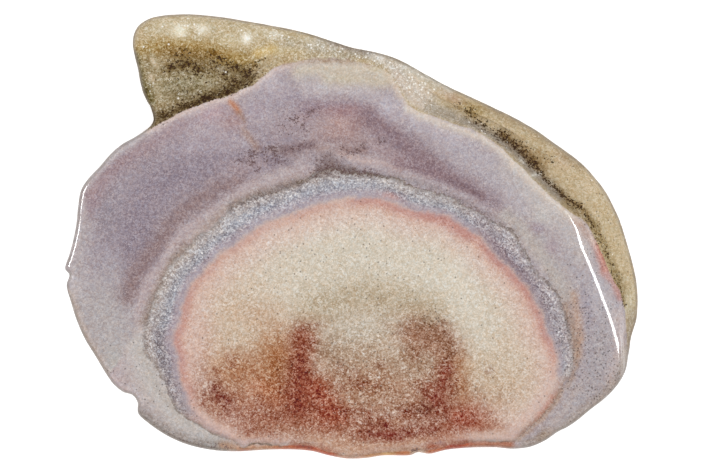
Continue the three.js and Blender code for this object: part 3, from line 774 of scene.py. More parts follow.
SHELL_BASE = (186, 168, 138)
SHELL_MARKS = (
    # the tab
    (streak(1.8, (-35, 35.6), (-33, 36.8), (-28, 36.8), (-20, 36), (-12, 34.8), (-5, 33)),
     (199, 185, 157), 0.85),
    (spot(-21.5, 33.8, 3.6, 1), (212, 198, 168), 0.8),
    (spot(-29, 27, 9, 4, 5), (155, 145, 119), 0.9),
    (streak(1.4, (-37.2, 32.2), (-34, 33), (-30.5, 33.3), (-26, 32.7), (-22, 31.6), (-19, 30.8)),
     (174, 148, 100), 0.9),
    (streak(1, (-16.4, 31.8), (-13, 32.7), (-9, 32.6)), (212, 188, 138), 0.85),
    (streak(1.2, (-32.4, 32.1), (-30, 31.8), (-27.6, 31.6), (-24.5, 31.6), (-22.5, 30.6)),
     (142, 114, 72), 0.85),
    (streak(1.5, (-31.8, 29.3), (-28, 30), (-24, 29.7), (-21, 29)), (140, 122, 92), 0.85),
    (streak(0.9, (-23, 30.6), (-20, 30.3), (-17.6, 29.9)), (168, 142, 90), 0.55),
    (spot(-20, 28, 2.6, 1.5, -20), (136, 118, 88), 0.7),
    (spot(-29.4, 24.9, 2.6, 1.2), (130, 118, 94), 0.65),
    (streak(2, (-35, 20), (-31, 21), (-27, 22.6), (-23, 24.2), (-20, 26), (-18, 27.6)),
     (134, 118, 92), 0.9),
    # near-white spots on the tab's crust, partly painted glints
    (spot(-30, 35.5, 1.6, 1.2), (244, 240, 224), 0.9),
    (spot(-26, 35.8, 1.1, 1), (234, 228, 212), 0.85),
    (spot(-18.3, 34.5, 0.9), (250, 250, 244), 0.9),
    (streak(0.8, (-14.4, 34.9), (-12.8, 35)), (222, 216, 202), 0.7),
    # dark olive along the tab's left outline, partly painted edge shade
    (streak(0.9, (-37.9, 31.4), (-37.4, 30), (-36.6, 27), (-35.2, 23.6)), (94, 84, 50), 0.85),
    (spot(-35.4, 29.4, 1.6, 2.6), (148, 133, 104), 0.7),
    (spot(-16.3, 28.6, 1.3, 1), (190, 174, 148), 0.85),
    (spot(-22.9, 29.1, 0.9, 0.6), (170, 160, 142), 0.7),
    # pinkish-white painted glints on the tab's left strip
    (streak(0.4, (-34.9, 27.9), (-34.5, 27.1)), (222, 206, 186), 0.7),
    (streak(0.4, (-34.8, 30.7), (-34.1, 29.8)), (222, 206, 184), 0.7),
    # the ledge
    (streak(4, (22, 24), (34, 16), (42, 8), (48, -6)), (194, 176, 146), 0.85),
    (spot(37, 13.4, 2, 1.4, -45), (198, 176, 154), 0.7),
    (spot(41, 8.6, 2, 1.4, -50), (202, 184, 158), 0.6),
    (streak(2.3, (8, 28.8), (10, 26.2), (12.6, 24)), (205, 193, 180), 0.95),
    (streak(1.3, (-12, 33.3), (-6, 32.6), (-1, 31.6)), (184, 174, 157), 0.8),
    (streak(1, (3, 31.6), (5, 31), (6.6, 30)), (206, 198, 188), 0.8),
    (spot(1.2, 31.7, 1.8, 0.8), (162, 154, 142), 0.7),
    (spot(7.8, 29.4, 1.2, 1), (186, 176, 162), 0.7),
    # painted shadow along the back outline, dark reddish brown
    (streak(0.6, (-3.4, 33.6), (0, 32.7), (3, 32.1)), (140, 122, 112), 0.7),
    (spot(17.6, 24.2, 2.4, 0.8, -25), (180, 152, 128), 0.8),
    (streak(1, (23, 23), (30, 19.2), (35, 16.4), (39.6, 12.2)), (160, 141, 112), 0.75),
    (streak(1, (48.6, -13), (48.4, -18), (47.6, -22)), (158, 143, 124), 0.85),
    (spot(21.4, 22, 2, 1.6), (164, 142, 100), 0.8),
    (streak(1, (26, 17.4), (28, 16), (31, 13.5), (33, 11.4)), (124, 99, 68), 0.85),
    (spot(33.2, 14.2, 1.5, 0.9, -45), (158, 134, 100), 0.7),
    (streak(0.6, (34.4, 9.8), (36.5, 7.9), (38.7, 6.1), (41, 4), (42.8, 1.4)), (140, 120, 88), 0.6),
    (streak(0.8, (41.6, 2), (43.4, -0.6), (45, -4.4), (46.8, -8.8), (47.5, -12)), (150, 132, 98), 0.85),
    (spot(48.6, -11, 0.8, 2.6), (198, 186, 160), 0.6),
    (streak(1, (13.6, 22.1), (18, 20.6), (22, 18.9), (25, 17.1), (28.6, 14.3), (31.4, 11.4), (33.6, 9.4),
            (36.5, 6.6)), (158, 148, 137), 0.95),
    (streak(0.9, (37.4, 5.9), (39, 4.5), (41, 2.5)), (156, 138, 110), 0.9),
    (streak(0.8, (13.6, 22.3), (16, 21.6), (19, 20.5)), (182, 171, 155), 0.7),
    (streak(1, (9.5, 29.6), (13, 27.8), (17, 25.6)), (206, 202, 193), 0.7),
    (streak(0.9, (-6, 34), (-3, 33.4), (2, 32.2), (6, 31)), (188, 182, 174), 0.5),
    (spot(48, -12, 0.8, 2.4), (198, 188, 164), 0.6),
    (spot(5, 31.2, 1.3, 0.6), (232, 224, 214), 0.6),
    (streak(0.7, (7.6, 28.6), (8.7, 26), (10.2, 24), (12.2, 22.5)), (202, 189, 178), 0.8),
    # painted glints: white sparkle on the ledge
    (spot(29.6, 13.1, 0.5, 0.3, -40), (240, 238, 232), 0.8),
    (spot(31.5, 10.7, 0.5, 0.3, 20), (240, 238, 232), 0.75),
    (spot(32.6, 11, 0.4, 0.25), (240, 238, 232), 0.8),
)

# Where dark crumbs gather in the shell, and how thickly
CRUMB_MARKS = (
    # the tab
    (spot(-28, 28, 7, 4), 0.07),
    (spot(-30.1, 31.2, 1, 0.6), 0.5),
    (spot(-28.8, 32.2, 0.8, 0.5), 0.4),
    (streak(0.7, (-32, 29.2), (-30.2, 29.7), (-28.2, 30.1), (-26.8, 29.2)), 0.3),
    (spot(-28.2, 30.05, 0.7, 0.45), 0.8),
    (spot(-31.6, 29.4, 0.5), 0.6),
    (spot(-26.7, 28.8, 0.9, 0.7), 0.45),
    (spot(-25, 28.6, 3.4, 1.1), 0.14),
    (streak(0.5, (-24.6, 31.8), (-23.2, 31.2), (-22.2, 30.4), (-20.2, 29.4)), 0.4),
    (spot(-24, 29.8, 0.6, 0.5), 0.55),
    (spot(-22.3, 27.9, 0.6, 0.5), 0.7),
    (spot(-18.3, 28.3, 0.9, 0.9), 0.95),
    (spot(-16.9, 29.8, 0.4), 0.45),
    (spot(-20.2, 29.4, 0.5), 0.55),
    (spot(-20.5, 26.6, 1.3, 0.9), 0.5),
    (spot(-21.7, 25.1, 0.8, 0.45), 0.8),
    (spot(-25.2, 24.1, 0.9, 0.45), 0.7),
    (spot(-27.8, 22.7, 1, 0.5), 0.4),
    (spot(-32.4, 21, 1.1, 0.6), 0.45),
    (spot(-15.5, 30.7, 0.6, 0.3, 15), 0.55),
    # the ledge
    (spot(19.6, 22.2, 2.2, 0.9, -35), 0.14),
    (spot(20.4, 21.4, 0.9, 0.7), 0.3),
    (spot(21, 22.1, 0.6, 0.3), 0.55),
    (streak(0.8, (21.6, 20.2), (24.2, 18.4), (26.2, 17.2)), 0.24),
    (streak(0.9, (26.4, 17.6), (29.1, 15.4), (32.1, 12.5)), 0.32),
    (spot(28.3, 15.8, 0.9, 0.8), 0.4),
    (spot(31.4, 13, 0.9, 0.6), 0.35),
    (spot(34, 13, 1.8, 1), 0.1),
    (streak(0.4, (29.2, 14.8), (31.1, 12.7), (32.9, 11)), 0.5),
    (streak(0.35, (32.9, 11), (34.4, 9.2), (36.2, 7.6)), 0.5),
    (streak(0.4, (36.2, 7.6), (38.3, 5.8), (39.6, 5.1)), 0.7),
    (streak(0.35, (39.6, 5.1), (40.7, 3.9), (42, 1.6)), 0.45),
    (streak(0.8, (42.4, 0.8), (43.6, -1.6), (44.6, -4), (46, -8)), 0.2),
    (streak(0.7, (46, -8), (47.3, -12)), 0.2),
    (streak(3, (30, 17), (38, 10), (46, 0)), 0.015),
)

# Where fine dark branches and grains lie in the plate, and how thickly
BRANCH_MARKS = (
    (spot(-16, 14, 3.6, 1.8, 15), 0.1),
    (spot(-18.9, 13.1, 1.1, 0.6), 0.45),
    (streak(0.4, (-17.6, 14.6), (-17.5, 13), (-16.4, 11.6)), 0.45),
    (streak(0.35, (-17.6, 14.4), (-16.4, 14.4)), 0.45),
    (streak(0.4, (-15.5, 14.2), (-14.6, 15.3)), 0.5),
    (streak(0.45, (-13.8, 15.3), (-13.2, 14.3)), 0.55),
    (spot(-13.4, 13.1, 1.2, 0.5), 0.45),
    (spot(-11.5, 12.8, 0.5), 0.45),
    (streak(0.4, (-12, 14.8), (-8, 15.8)), 0.25),
    (spot(-10, 19, 3, 2.5), 0.1),
    (streak(0.35, (-8.2, 20.7), (-7.6, 21.2), (-6.9, 21.7), (-6, 22.2)), 0.5),
    (spot(-10.6, 20.4, 1.1, 0.4, 20), 0.5),
    (spot(-9.8, 20.5, 0.4, 0.6), 0.5),
    (streak(0.35, (-8.3, 20), (-8.5, 18.6)), 0.4),
    (spot(2, 15.6, 0.5, 0.4), 0.7),
    (streak(0.4, (-1.6, 15.4), (-0.6, 14.6), (1.4, 14.8)), 0.55),
    (spot(5.2, 16.5, 0.7, 0.5), 0.5),
    (spot(-3.8, 12.6, 2.2, 1.6), 0.25),
    (streak(0.7, (-7, 11), (-3, 11.4), (1, 11.1), (4, 10.9)), 0.35),
    (streak(0.8, (-33, -34.5), (-27, -36.5), (-21, -37.3)), 0.2),
    (spot(10.9, -37.2, 0.6, 0.4), 0.7),
)

# Where small separate dark specks are scattered, and how thickly
SPECK_MARKS = (
    (spot(42, -22, 5, 10, 20), 0.85),
    (spot(40, -13, 2, 5), 0.5),
    (spot(-40, -30, 10, 8), 0.2),
    (spot(2, -4, 20, 9), 0.12),
    (spot(0, -26, 22, 10), 0.15),
    (spot(13.6, -14.4, 2.4, 1.2), 0.9),
    (spot(44, 2, 4, 14, 10), 0.3),
)

# Where white glints are scattered
GLINT_MARKS = (
    (streak(1.6, (-36, 33), (-30, 37), (-20, 36.5), (-10, 34.6)), 0.06),
    (streak(1.6, (8, 28.6), (10.4, 26), (13.2, 24.4)), 0.5),
    (streak(0.9, (-8, 33.2), (0, 31.8), (6, 30.4)), 0.4),
    (streak(1, (14, 21.6), (20, 19.7), (26, 16.7)), 0.08),
    (spot(-22.2, 29, 0.4, 0.5), 1),
    (spot(-30, 24.7, 0.45), 0.9),
    (spot(-35, 25.7, 0.4), 0.8),
    (spot(-34.4, 27.3, 0.5), 0.6),
    (spot(-34.2, 30.1, 0.5), 0.5),
    (spot(-18.1, 34.4, 0.7), 0.8),
    (spot(-19.7, 35.6, 0.9, 0.4), 0.5),
    (spot(29.6, 13.05, 0.4), 0.8),
    (spot(31.6, 10.7, 0.6, 0.35), 0.9),
    (spot(32.6, 11, 0.4, 0.3), 0.8),
    (spot(40.6, 9.7, 0.4), 0.7),
    (spot(45.7, -3.4, 0.4), 0.7),
    (spot(10, 26.6, 2.4, 2), 0.25),
    (spot(2, 31.4, 3.4, 0.7), 0.35),
    (streak(4, (24, 22), (36, 13), (45, 2)), 0.012),
)

# Places that other rules refer to
PALE_LIP = streak(3, (-36, 19), (-10, 29))  # where the plate's edge under the tab is palest
FAINT_RIM = streak(4, (-27, -6), (-20, -1), (-12, 4), (-3, 6.4))  # where the orange edge is faint
STRONG_RIM = streak(1.1, (13, 4), (17, 2.1), (20, 0.2))  # where it is strong
MOON = spot(1, -26, 19, 10)  # the sparkling crystals inside the stain's bow
CLEAR_RIM = streak(0.8, (-29, -26.8), (-27.6, -30), (-25, -32.6), (-21, -34.6))  # hardly stained
TAB_CORNER = spot(-26, 23, 9, 8)
BACK_STRIP = spot(-1, 30, 10, 4)
LEFT_NOTCH = spot(-48.8, -8.8, 1.6, 2.2)
# Where the core's pink halo is missing
BARE_MARKS = (
    (spot(-23.8, -29.2, 3.2, 3), 1),
    (spot(23, -33, 3.8, 1.6), 1),
    (spot(30, -28, 2.6, 4, -30), 0.7),
)

# The bands drift below the stone's widest place, so that they run down the wall and lie a little
# differently on the back: how far sideways, and by what share they shrink
DRIFT = (1.8, 0.6)
SHRINK = 0.07
# Ripples that soften the marks: the size of each, its seeds across and up, and how far it moves them
BEND = (5, (1, 2), 0.2)
FRAY = (1.7, (3, 4), 0.3)
CLOSE_FRAY = 0.15  # how far the fraying moves the small marks
# The ring's inner tones: how far towards the orange edge each begins, and over what share it comes
INNER_TONES = ((RING_MIDDLE, 0.3, 0.25), (LAVENDER, 0.62, 0.2))
EDGE_CRUMBS = 0.5  # how thickly crumbs line the shell's edge under the tab
THINNEST_RING = -0.01  # the ring's least width, negative as the distances inside it are
# The halos inside the orange edge: tone, strength, how far in each is strongest, and half its width
HALOS = (
    (PINK_HALO, 0.7, 2.5, 2.8),
    (PEACH_HALO, 0.85, 1.2, 1.1),
    (ORANGE_RIM, 0.95, 0.6, 0.8),
)

STAIN_MARGIN = 1.5  # inside the orange edge, where the stain fades
BARE_LOSS = 0.8  # share of the pink halo that is lost where it is missing
FAINT_LOSS = 0.45  # share of the warm halos that is lost where the orange edge is faint
STRONG_GAIN = 0.7  # strength of the orange where it is strong
PATCHES = (0.75, 0.5, 0.35)  # the orange edge's strength, how far that swings, and its least
LIP_STRENGTH = 0.7
CLEAR_LOSS = 0.8  # share of the stain that is lost along the clear rim
STRIP_LOSS = 0.75  # share of the distance past the plate's edge that is lost along the back strip
LEAST_TEAR = 0.1
# Narrow stripes: how far past its contour the middle of each lies, and half its width
LIP_STRIPE = (-0.3, 0.4)
CRUMB_STRIPE = (0.5, 1.1)
CALM_STRIPE = (0.9, 1.9)  # of weaker grain, inside the orange edge
# Soft steps: where each starts, and how wide it is
FRONT_UP = (-28, -4)  # the core's open front, from its top
FRONT_SIDE = (21, -5)  # the same, from its ends
WARM_UP = (-28, 4)  # the warm halos, from the front
WARM_SLOPE = 0.08  # how much that start climbs to the right
TEAR_UP = (-30, 14)  # the torn part of the dark line, from the front
CRUMB_START = (-0.15, 0.3)
LEDGE_START = (8, 6)  # the ledge's part of the shell, from the left
RING_START = (0, -0.6)
RING_END = (-0.4, -1.1)
RIND_AND_SHADE_UP = (-33, -3)  # the front's bare rim, from its top
RIND_AND_SHADE_SIDE = (28.8, -18)  # the same, from its ends
RIND_AND_SHADE_MIDDLE = 4  # how far to the right of the stone's middle that rim is centred
# How strongly the grain shows in the plate, and what the other zones add to that or take away
PLATE_GRIT = 0.6
RING_GRIT = 0.9
CORE_GRIT = 0.35
MOON_GRIT = 0.45
HALO_GRIT = -0.3
SHELL_GRIT = 0.6
CRUMB_GRIT = 0.6
LEDGE_GRIT = (-0.45, 0.5)  # to the shell's and to the crumbs'
# The greyish rind and painted edge shade: how far in from the outline they reach, and how much of that is
# their soft edge
RIND_AND_SHADE_WIDTH = (0.62, 0.45)
RIND_AND_SHADE_LOST = 0.7  # the share of it that is missing at the front
GRIT_RIPPLE = (3, 7)  # size and seed of the ripple in the grain's strength
GRIT_SWING = 0.3


def nearness(distance, middle, half_width):
    """1 where a distance is that of the middle, falling softly on either side."""
    return np.exp(-((distance - middle) / half_width) ** 2)


def towards(colour, tone, share):
    """A colour at each point, moved by a share of the way to a tone."""
    return colour + (np.array(tone, float) - colour) * share[:, None]


def overlaid(colour, marks, at):
    """A colour at each point, with each mark laid over what came before."""
    for weight, tone, strength in marks:
        colour = towards(colour, tone, strength * weight(at))
    return colour


def all_over(tone, at):
    """One tone at every point."""
    return np.tile(np.array(tone, float), (len(at), 1))


def gathered(marks, at):
    """How thickly something lies at each point, from 0 to 1."""
    return 1 - np.prod([1 - strength * weight(at) for weight, strength in marks], axis=0)


def linear(seen):
    """The share of light in a screen colour from 0 to 255."""
    share = np.asarray(seen, float) / 255
    return np.where(share <= 0.04045, share / 12.92, ((share + 0.055) / 1.055) ** 2.4)


def rippled(points, size, seeds):
    """Two ripples at each point, to move marks across and up."""
    return np.column_stack([ripple(points, size, seed) for seed in seeds])


def past(at, contour):
    """How far each point lies inside a contour's smooth curve, negative outside it."""
    curve = smooth_loop(contour, len(contour) * SMOOTHED)
    return to_ring(at, curve) * np.where(inside(at, curve), 1, -1)


def past_path(at, path, rest):
    """How far each point lies on the inner side of an open path, which the rest closes."""
    side = inside(at, np.vstack([path, rest]))
    return to_ring(at, np.array(path, float), closed=False) * np.where(side, 1, -1)


def at_front(at):
    """Where the core meets the front edge and has no orange edge of its own."""
    return rise(at[:, 1], *FRONT_UP) * rise(abs(at[:, 0]), *FRONT_SIDE)


def plate_colour(at, soft, close, from_plate):
    """The mauve plate, its pale cloudy side at the left, its lip and its veins."""
    plate = overlaid(all_over(PLATE_BASE, soft), PLATE_MARKS, soft)
    cloud = overlaid(all_over(CLOUD_BASE, soft), CLOUD_MARKS, soft)
    cloudy = rise(past_path(soft, CLOUD_EDGE, CLOUD_SIDE), -CLOUD_BLUR / 2, CLOUD_BLUR)
    plate += (cloud - plate) * cloudy[:, None]
    plate = towards(plate, EDGE_LIGHT, LIP_STRENGTH * nearness(from_plate, *LIP_STRIPE) * PALE_LIP(at))
    return overlaid(plate, VEIN_MARKS, close)


def ring_colour(soft, from_line, from_orange):
    """The grey ring, turning to lavender towards the orange edge."""
    across = np.clip(from_line / np.minimum(from_line + from_orange, THINNEST_RING), 0, 1)
    ring = all_over(RING_OUTER, soft)
    for tone, start, width in INNER_TONES:
        ring = towards(ring, tone, rise(across, start, width))
    return overlaid(ring, RING_MARKS, soft)


def core_colour(at, soft, bend, from_orange):
    """The cream core, with a pink, a peach and an orange halo inside its edge."""
    core = overlaid(all_over(CORE_BASE, soft), CORE_MARKS, soft)
    bare = sum(strength * weight(at) for weight, strength in BARE_MARKS)
    warm = rise(at[:, 1] - WARM_SLOPE * at[:, 0], *WARM_UP) * (1 - FAINT_LOSS * FAINT_RIM(at))
    patchy = np.clip(PATCHES[0] + PATCHES[1] * bend[:, 0], PATCHES[2], 1)
    shown = ((1 - BARE_LOSS * bare) * (1 - at_front(at)), warm, warm * patchy)
    for (tone, strength, middle, half_width), here in zip(HALOS, shown):
        core = towards(core, tone, strength * here * nearness(from_orange, middle, half_width))
    return towards(core, ORANGE_RIM, STRONG_GAIN * STRONG_RIM(at))


def crumb_cover(close, from_plate):
    """How thickly dark crumbs lie in the shell."""
    along_edge = EDGE_CRUMBS * nearness(from_plate, *CRUMB_STRIPE) * TAB_CORNER(close)
    crumbs = 1 - (1 - gathered(CRUMB_MARKS, close)) * (1 - along_edge)
    return crumbs * rise(from_plate, *CRUMB_START)


def grit_strength(points, at, soft, from_line, from_orange, from_plate, crumbs):
    """How strongly the grain shows: most in the grey ring, in the stain's bow and among crumbs."""
    grey = rise(from_line, *RING_START) * rise(from_orange, *RING_END)
    grit = PLATE_GRIT + RING_GRIT * grey
    grit += rise(from_orange, 0, STAIN_MARGIN) * (CORE_GRIT + MOON_GRIT * MOON(soft))
    grit += HALO_GRIT * nearness(from_orange, *CALM_STRIPE) * (1 - at_front(at))
    ledge = rise(at[:, 0], *LEDGE_START)
    shell = SHELL_GRIT + LEDGE_GRIT[0] * ledge + (CRUMB_GRIT + LEDGE_GRIT[1] * ledge) * crumbs
    grit += (from_plate > 0) * shell
    return grit * (1 + GRIT_SWING * ripple(points, *GRIT_RIPPLE))


def rind_and_edge_shade_cover(at, from_outline):
    """The greyish rind and painted edge shade along the outline, fainter at the front."""
    rind_and_edge_shade = rise(from_outline, RIND_AND_SHADE_WIDTH[0], -RIND_AND_SHADE_WIDTH[1])
    front = rise(at[:, 1], *RIND_AND_SHADE_UP) * rise(abs(at[:, 0] - RIND_AND_SHADE_MIDDLE), *RIND_AND_SHADE_SIDE)
    return rind_and_edge_shade * (1 - RIND_AND_SHADE_LOST * front)


def pattern(points, sink, from_outline):
    """What the stone's material needs to know at each point of its skin, by name."""
    at = points[:, :2] * (1 - SHRINK * sink[:, None]) + sink[:, None] * np.array(DRIFT)
    bend = rippled(points, *BEND[:2])
    fray = rippled(points, *FRAY[:2])
    soft = at + BEND[2] * bend + FRAY[2] * fray
    close = at + CLOSE_FRAY * fray
    from_line = -past(at, DARK_LINE)
    from_orange = past(at, ORANGE_EDGE)
    from_plate = -past_path(at, PLATE_EDGE, BEYOND)
    crumbs = crumb_cover(close, from_plate)
    stain = gathered(STAIN_MARKS, soft) * rise(from_orange, 0, STAIN_MARGIN)
    stain *= 1 - CLEAR_LOSS * CLEAR_RIM(soft)
    stain_tone = overlaid(all_over(STAIN_BASE, soft), STAIN_TONES, soft)
    shell_tone = overlaid(all_over(SHELL_BASE, soft), SHELL_MARKS, soft)
    return {
        "plate_tone": linear(plate_colour(at, soft, close, from_plate)),
        "ring_tone": linear(ring_colour(soft, from_line, from_orange)),
        "core_tone": linear(core_colour(at, soft, bend, from_orange)),
        "stain_tone": linear(stain_tone),
        "shell_tone": linear(shell_tone),
        "from_line": from_line,
        "line": 1 - (1 - LINE_BASE) * (1 - gathered(LINE_MARKS, at)),
        "tear": np.maximum(rise(at[:, 1], *TEAR_UP), LEAST_TEAR),
        "from_orange": from_orange,
        "from_plate": from_plate * (1 - STRIP_LOSS * BACK_STRIP(at)),
        "stain": stain,
        "crumbs": crumbs,
        "branches": gathered(BRANCH_MARKS, close),
        "specks": gathered(SPECK_MARKS, soft),
        "glints": gathered(GLINT_MARKS, close),
        "grit": grit_strength(points, at, soft, from_line, from_orange, from_plate, crumbs),
        # the rind, and the painted edge shade along the top's outline
        "rind_and_edge_shade": rind_and_edge_shade_cover(at, from_outline),
        "dull": LEFT_NOTCH(at),
        "sink": sink,
    }


def add_attributes(mesh, values):
    """Store the named values on the mesh: colours where a point has three, and plain numbers."""
    for name, value in values.items():
        if value.ndim == 2:
            layer = mesh.attributes.new(name, "FLOAT_COLOR", "POINT")
            layer.data.foreach_set("color", np.column_stack([value, np.ones(len(value))]).ravel())
        else:
            layer = mesh.attributes.new(name, "FLOAT", "POINT")
            layer.data.foreach_set("value", value.astype(np.float32))


# The lumps and the pits in the rough skin: size and seed, and their depths in the shell and in the wall
LUMPS = (1.9, 5)
PITS = (0.9, 6)
PIT_EDGE = 0.25
SHELL_DEPTHS = (0.10, 0.12)
WALL_DEPTHS = (0.16, 0.3)
SHELL_ONSET = 0.8  # width over which the shell's roughness comes
WALL_ONSET = 0.125  # share of the way down the wall over which its own comes
BACK_MARGIN = (0.3, 0.6)  # height from which the wall is rough, and over what it comes
ON_WALL = 0.01  # a point that has sunk further than this lies on the wall or the back


def roughened(points, normals, sink, from_plate):
    """The points with the shell's and the wall's lumps and pits pressed in, never past the solid's box."""
    shell = rise(from_plate, 0, SHELL_ONSET) * (sink < ON_WALL)
    wall = rise(sink, 0, WALL_ONSET) * rise(points[:, 2], *BACK_MARGIN)
    lumps = 0.5 + 0.5 * ripple(points, *LUMPS)
    pits = np.clip(ripple(points, *PITS) - PIT_EDGE, 0, 1)
    hollow = shell * (SHELL_DEPTHS[0] * lumps + SHELL_DEPTHS[1] * pits)
    hollow += wall * (WALL_DEPTHS[0] * lumps + WALL_DEPTHS[1] * pits)
    low, high = (np.array(corner) / MM for corner in cad_box)
    return np.clip(points - normals * hollow[:, None], low, high)


def make_stone():
    """The whole stone, with its pattern stored on its mesh."""
    points, faces, sink = stone_mesh()
    mesh = bpy.data.meshes.new("agate")
    mesh.from_pydata(points * MM, [], faces)
    mesh.update()
    normals = np.zeros(len(points) * 3)
    mesh.vertices.foreach_get("normal", normals)
    from_outline = to_ring(points[:, :2], stations()[0])
    from_outline[sink > ON_WALL] = 0
    values = pattern(points, sink, from_outline)
    points = roughened(points, normals.reshape(-1, 3), sink, values["from_plate"])
    mesh.vertices.foreach_set("co", (points * MM).ravel())
    add_attributes(mesh, values)
    mesh.shade_smooth()
    stone = bpy.data.objects.new("agate_stone", mesh)
    bpy.context.scene.collection.objects.link(stone)
    return stone


# ------------------------------------------------------------------------------------------------------
# The stone's material
# ------------------------------------------------------------------------------------------------------

GLOSS_VEIL = 0.014  # light that the polished face adds over its colour
ROUGH_VEIL = 0.018  # light that the rough shell adds over its colour
DARKEST = (0.002, 0.002, 0.002)
SHELL_SHEEN = (0.4, 0.33, 0.2, 1)  # tint of the shell's highlights
QUARTZ_IOR = 1.54

# Noises in the stone: size in millimetres, detail and roughness
CRINKLE = (2.0, 4.0, 0.6)
TEAR = (0.8, 2.0, 0.6)
LINE_BREAKS = (3.0, 2.0)
CRYSTALS = (1.1, 3.0, 0.72)
SPECKLE = (0.5, 2.0, 0.6)
CLUMPS = (1.3, 3.0, 0.65)
HUES = (0.9, 3.0, 0.7)
RIND_AND_SHADE_NOISE = (1.1, 3.0)
# Grains: size, and how much each counts in the grain's shade
SMALL_GRAIN = (0.2, 0.75)
LARGE_GRAIN = (0.42, 0.35)
GRAIN_SHARE = 0.3  # the small grains' share in the speckle
# How far the crinkle moves each contour, and how far the grain frays it
WANDER = {"from_line": (1.2, 0.15), "from_orange": (1.7, 0.25), "from_plate": (0.6, 0.05)}
TORN = 1.3  # how far the dark line is torn besides
# Where each zone begins and where it is complete, past its contour
RING_BLEND = (0.15, -0.15)
CORE_BLEND = (-0.5, 0.65)
SHELL_BLEND = (-0.12, 0.12)
ROUGH_BLEND = (-1.3, 0.2)  # where the polish gives way to the rough shell
# The dark line: how far from its middle it fades out and is full, and the shade under it: how far inside,
# half its width, its strength
LINE_FADE = (0.3, 0.05)
SHADE = (0.15, 0.6, 0.28)
# The noise's values between which a strength changes, from and to what: the dark line's, the rind and edge
# shade's
LINE_STRENGTH = (0.35, 0.6, 0.6, 1.0)
RIND_AND_SHADE_STRENGTH = (0.3, 0.6, 0.35, 0.75)
# The stain: the contrast of its crystals and grains, and how uneven it is where thin, less where thick
CRYSTAL_CONTRAST = 3.6
STAINED_GRAINS = -0.7
UNEVEN = (1.6, -1.35)
# The grain: its contrast and that of its clumps, the least weight of a colour, and the swings of its hue
GRAIN_CONTRAST = 0.95
CLUMP_CONTRAST = 0.5
LEAST_WEIGHT = 0.2
EVENING = 0.04  # how much strong grain is darkened, so that it doesn't lighten the whole
HUE_SWING = 0.18
HUE_CHANCE = 0.08
# A mask of a noise's peaks: the height that few peaks pass, how much lower the edge of half the surface
# lies, and the share under which the mask fades away
PEAK = 0.74
HALF_FALL = 0.24
LEAST_SHARE = 0.04
FADED = -0.2  # how far the noise is lowered where the mask is gone
MASK_EDGE = 0.02
DOT_EDGE = (1.25, 0.6)  # where a dot ends and where it is full, as shares of its radius
# The stain round a crumb: how much wider it is than the crumb, how soft and how strong
HALO_REACH = 1.6
HALO_EDGE = 0.06
HALO_STRENGTH = 0.35
# How rough each part is, and how far down the wall its own roughness is reached
POLISH = 0.08
WALL_ROUGHNESS = 0.5
SHELL_ROUGHNESS = 0.6
NOTCH_ROUGHNESS = 0.75
WALL_START = 0.2
# Scattered flecks: their spacing, and their radius as a share of it
SPECKS = (0.5, 0.3)
GLINTS = (0.55, 0.34)

LINE_BROWN = (104, 87, 70)
CRUMB_HALO = (128, 100, 60)
# The rind's grey, also the colour of the painted edge shade along the top's outline
RIND_AND_EDGE_SHADE_GREY = (112, 100, 88)
# How much of each kind of fleck shows, and its colour
FLECKS = {
    "branches": (0.8, (92, 66, 64)),
    "crumbs": (0.96, (50, 32, 10)),
    "specks": (0.6, (60, 52, 48)),
    "glints": (0.8, (246, 244, 238)),
}


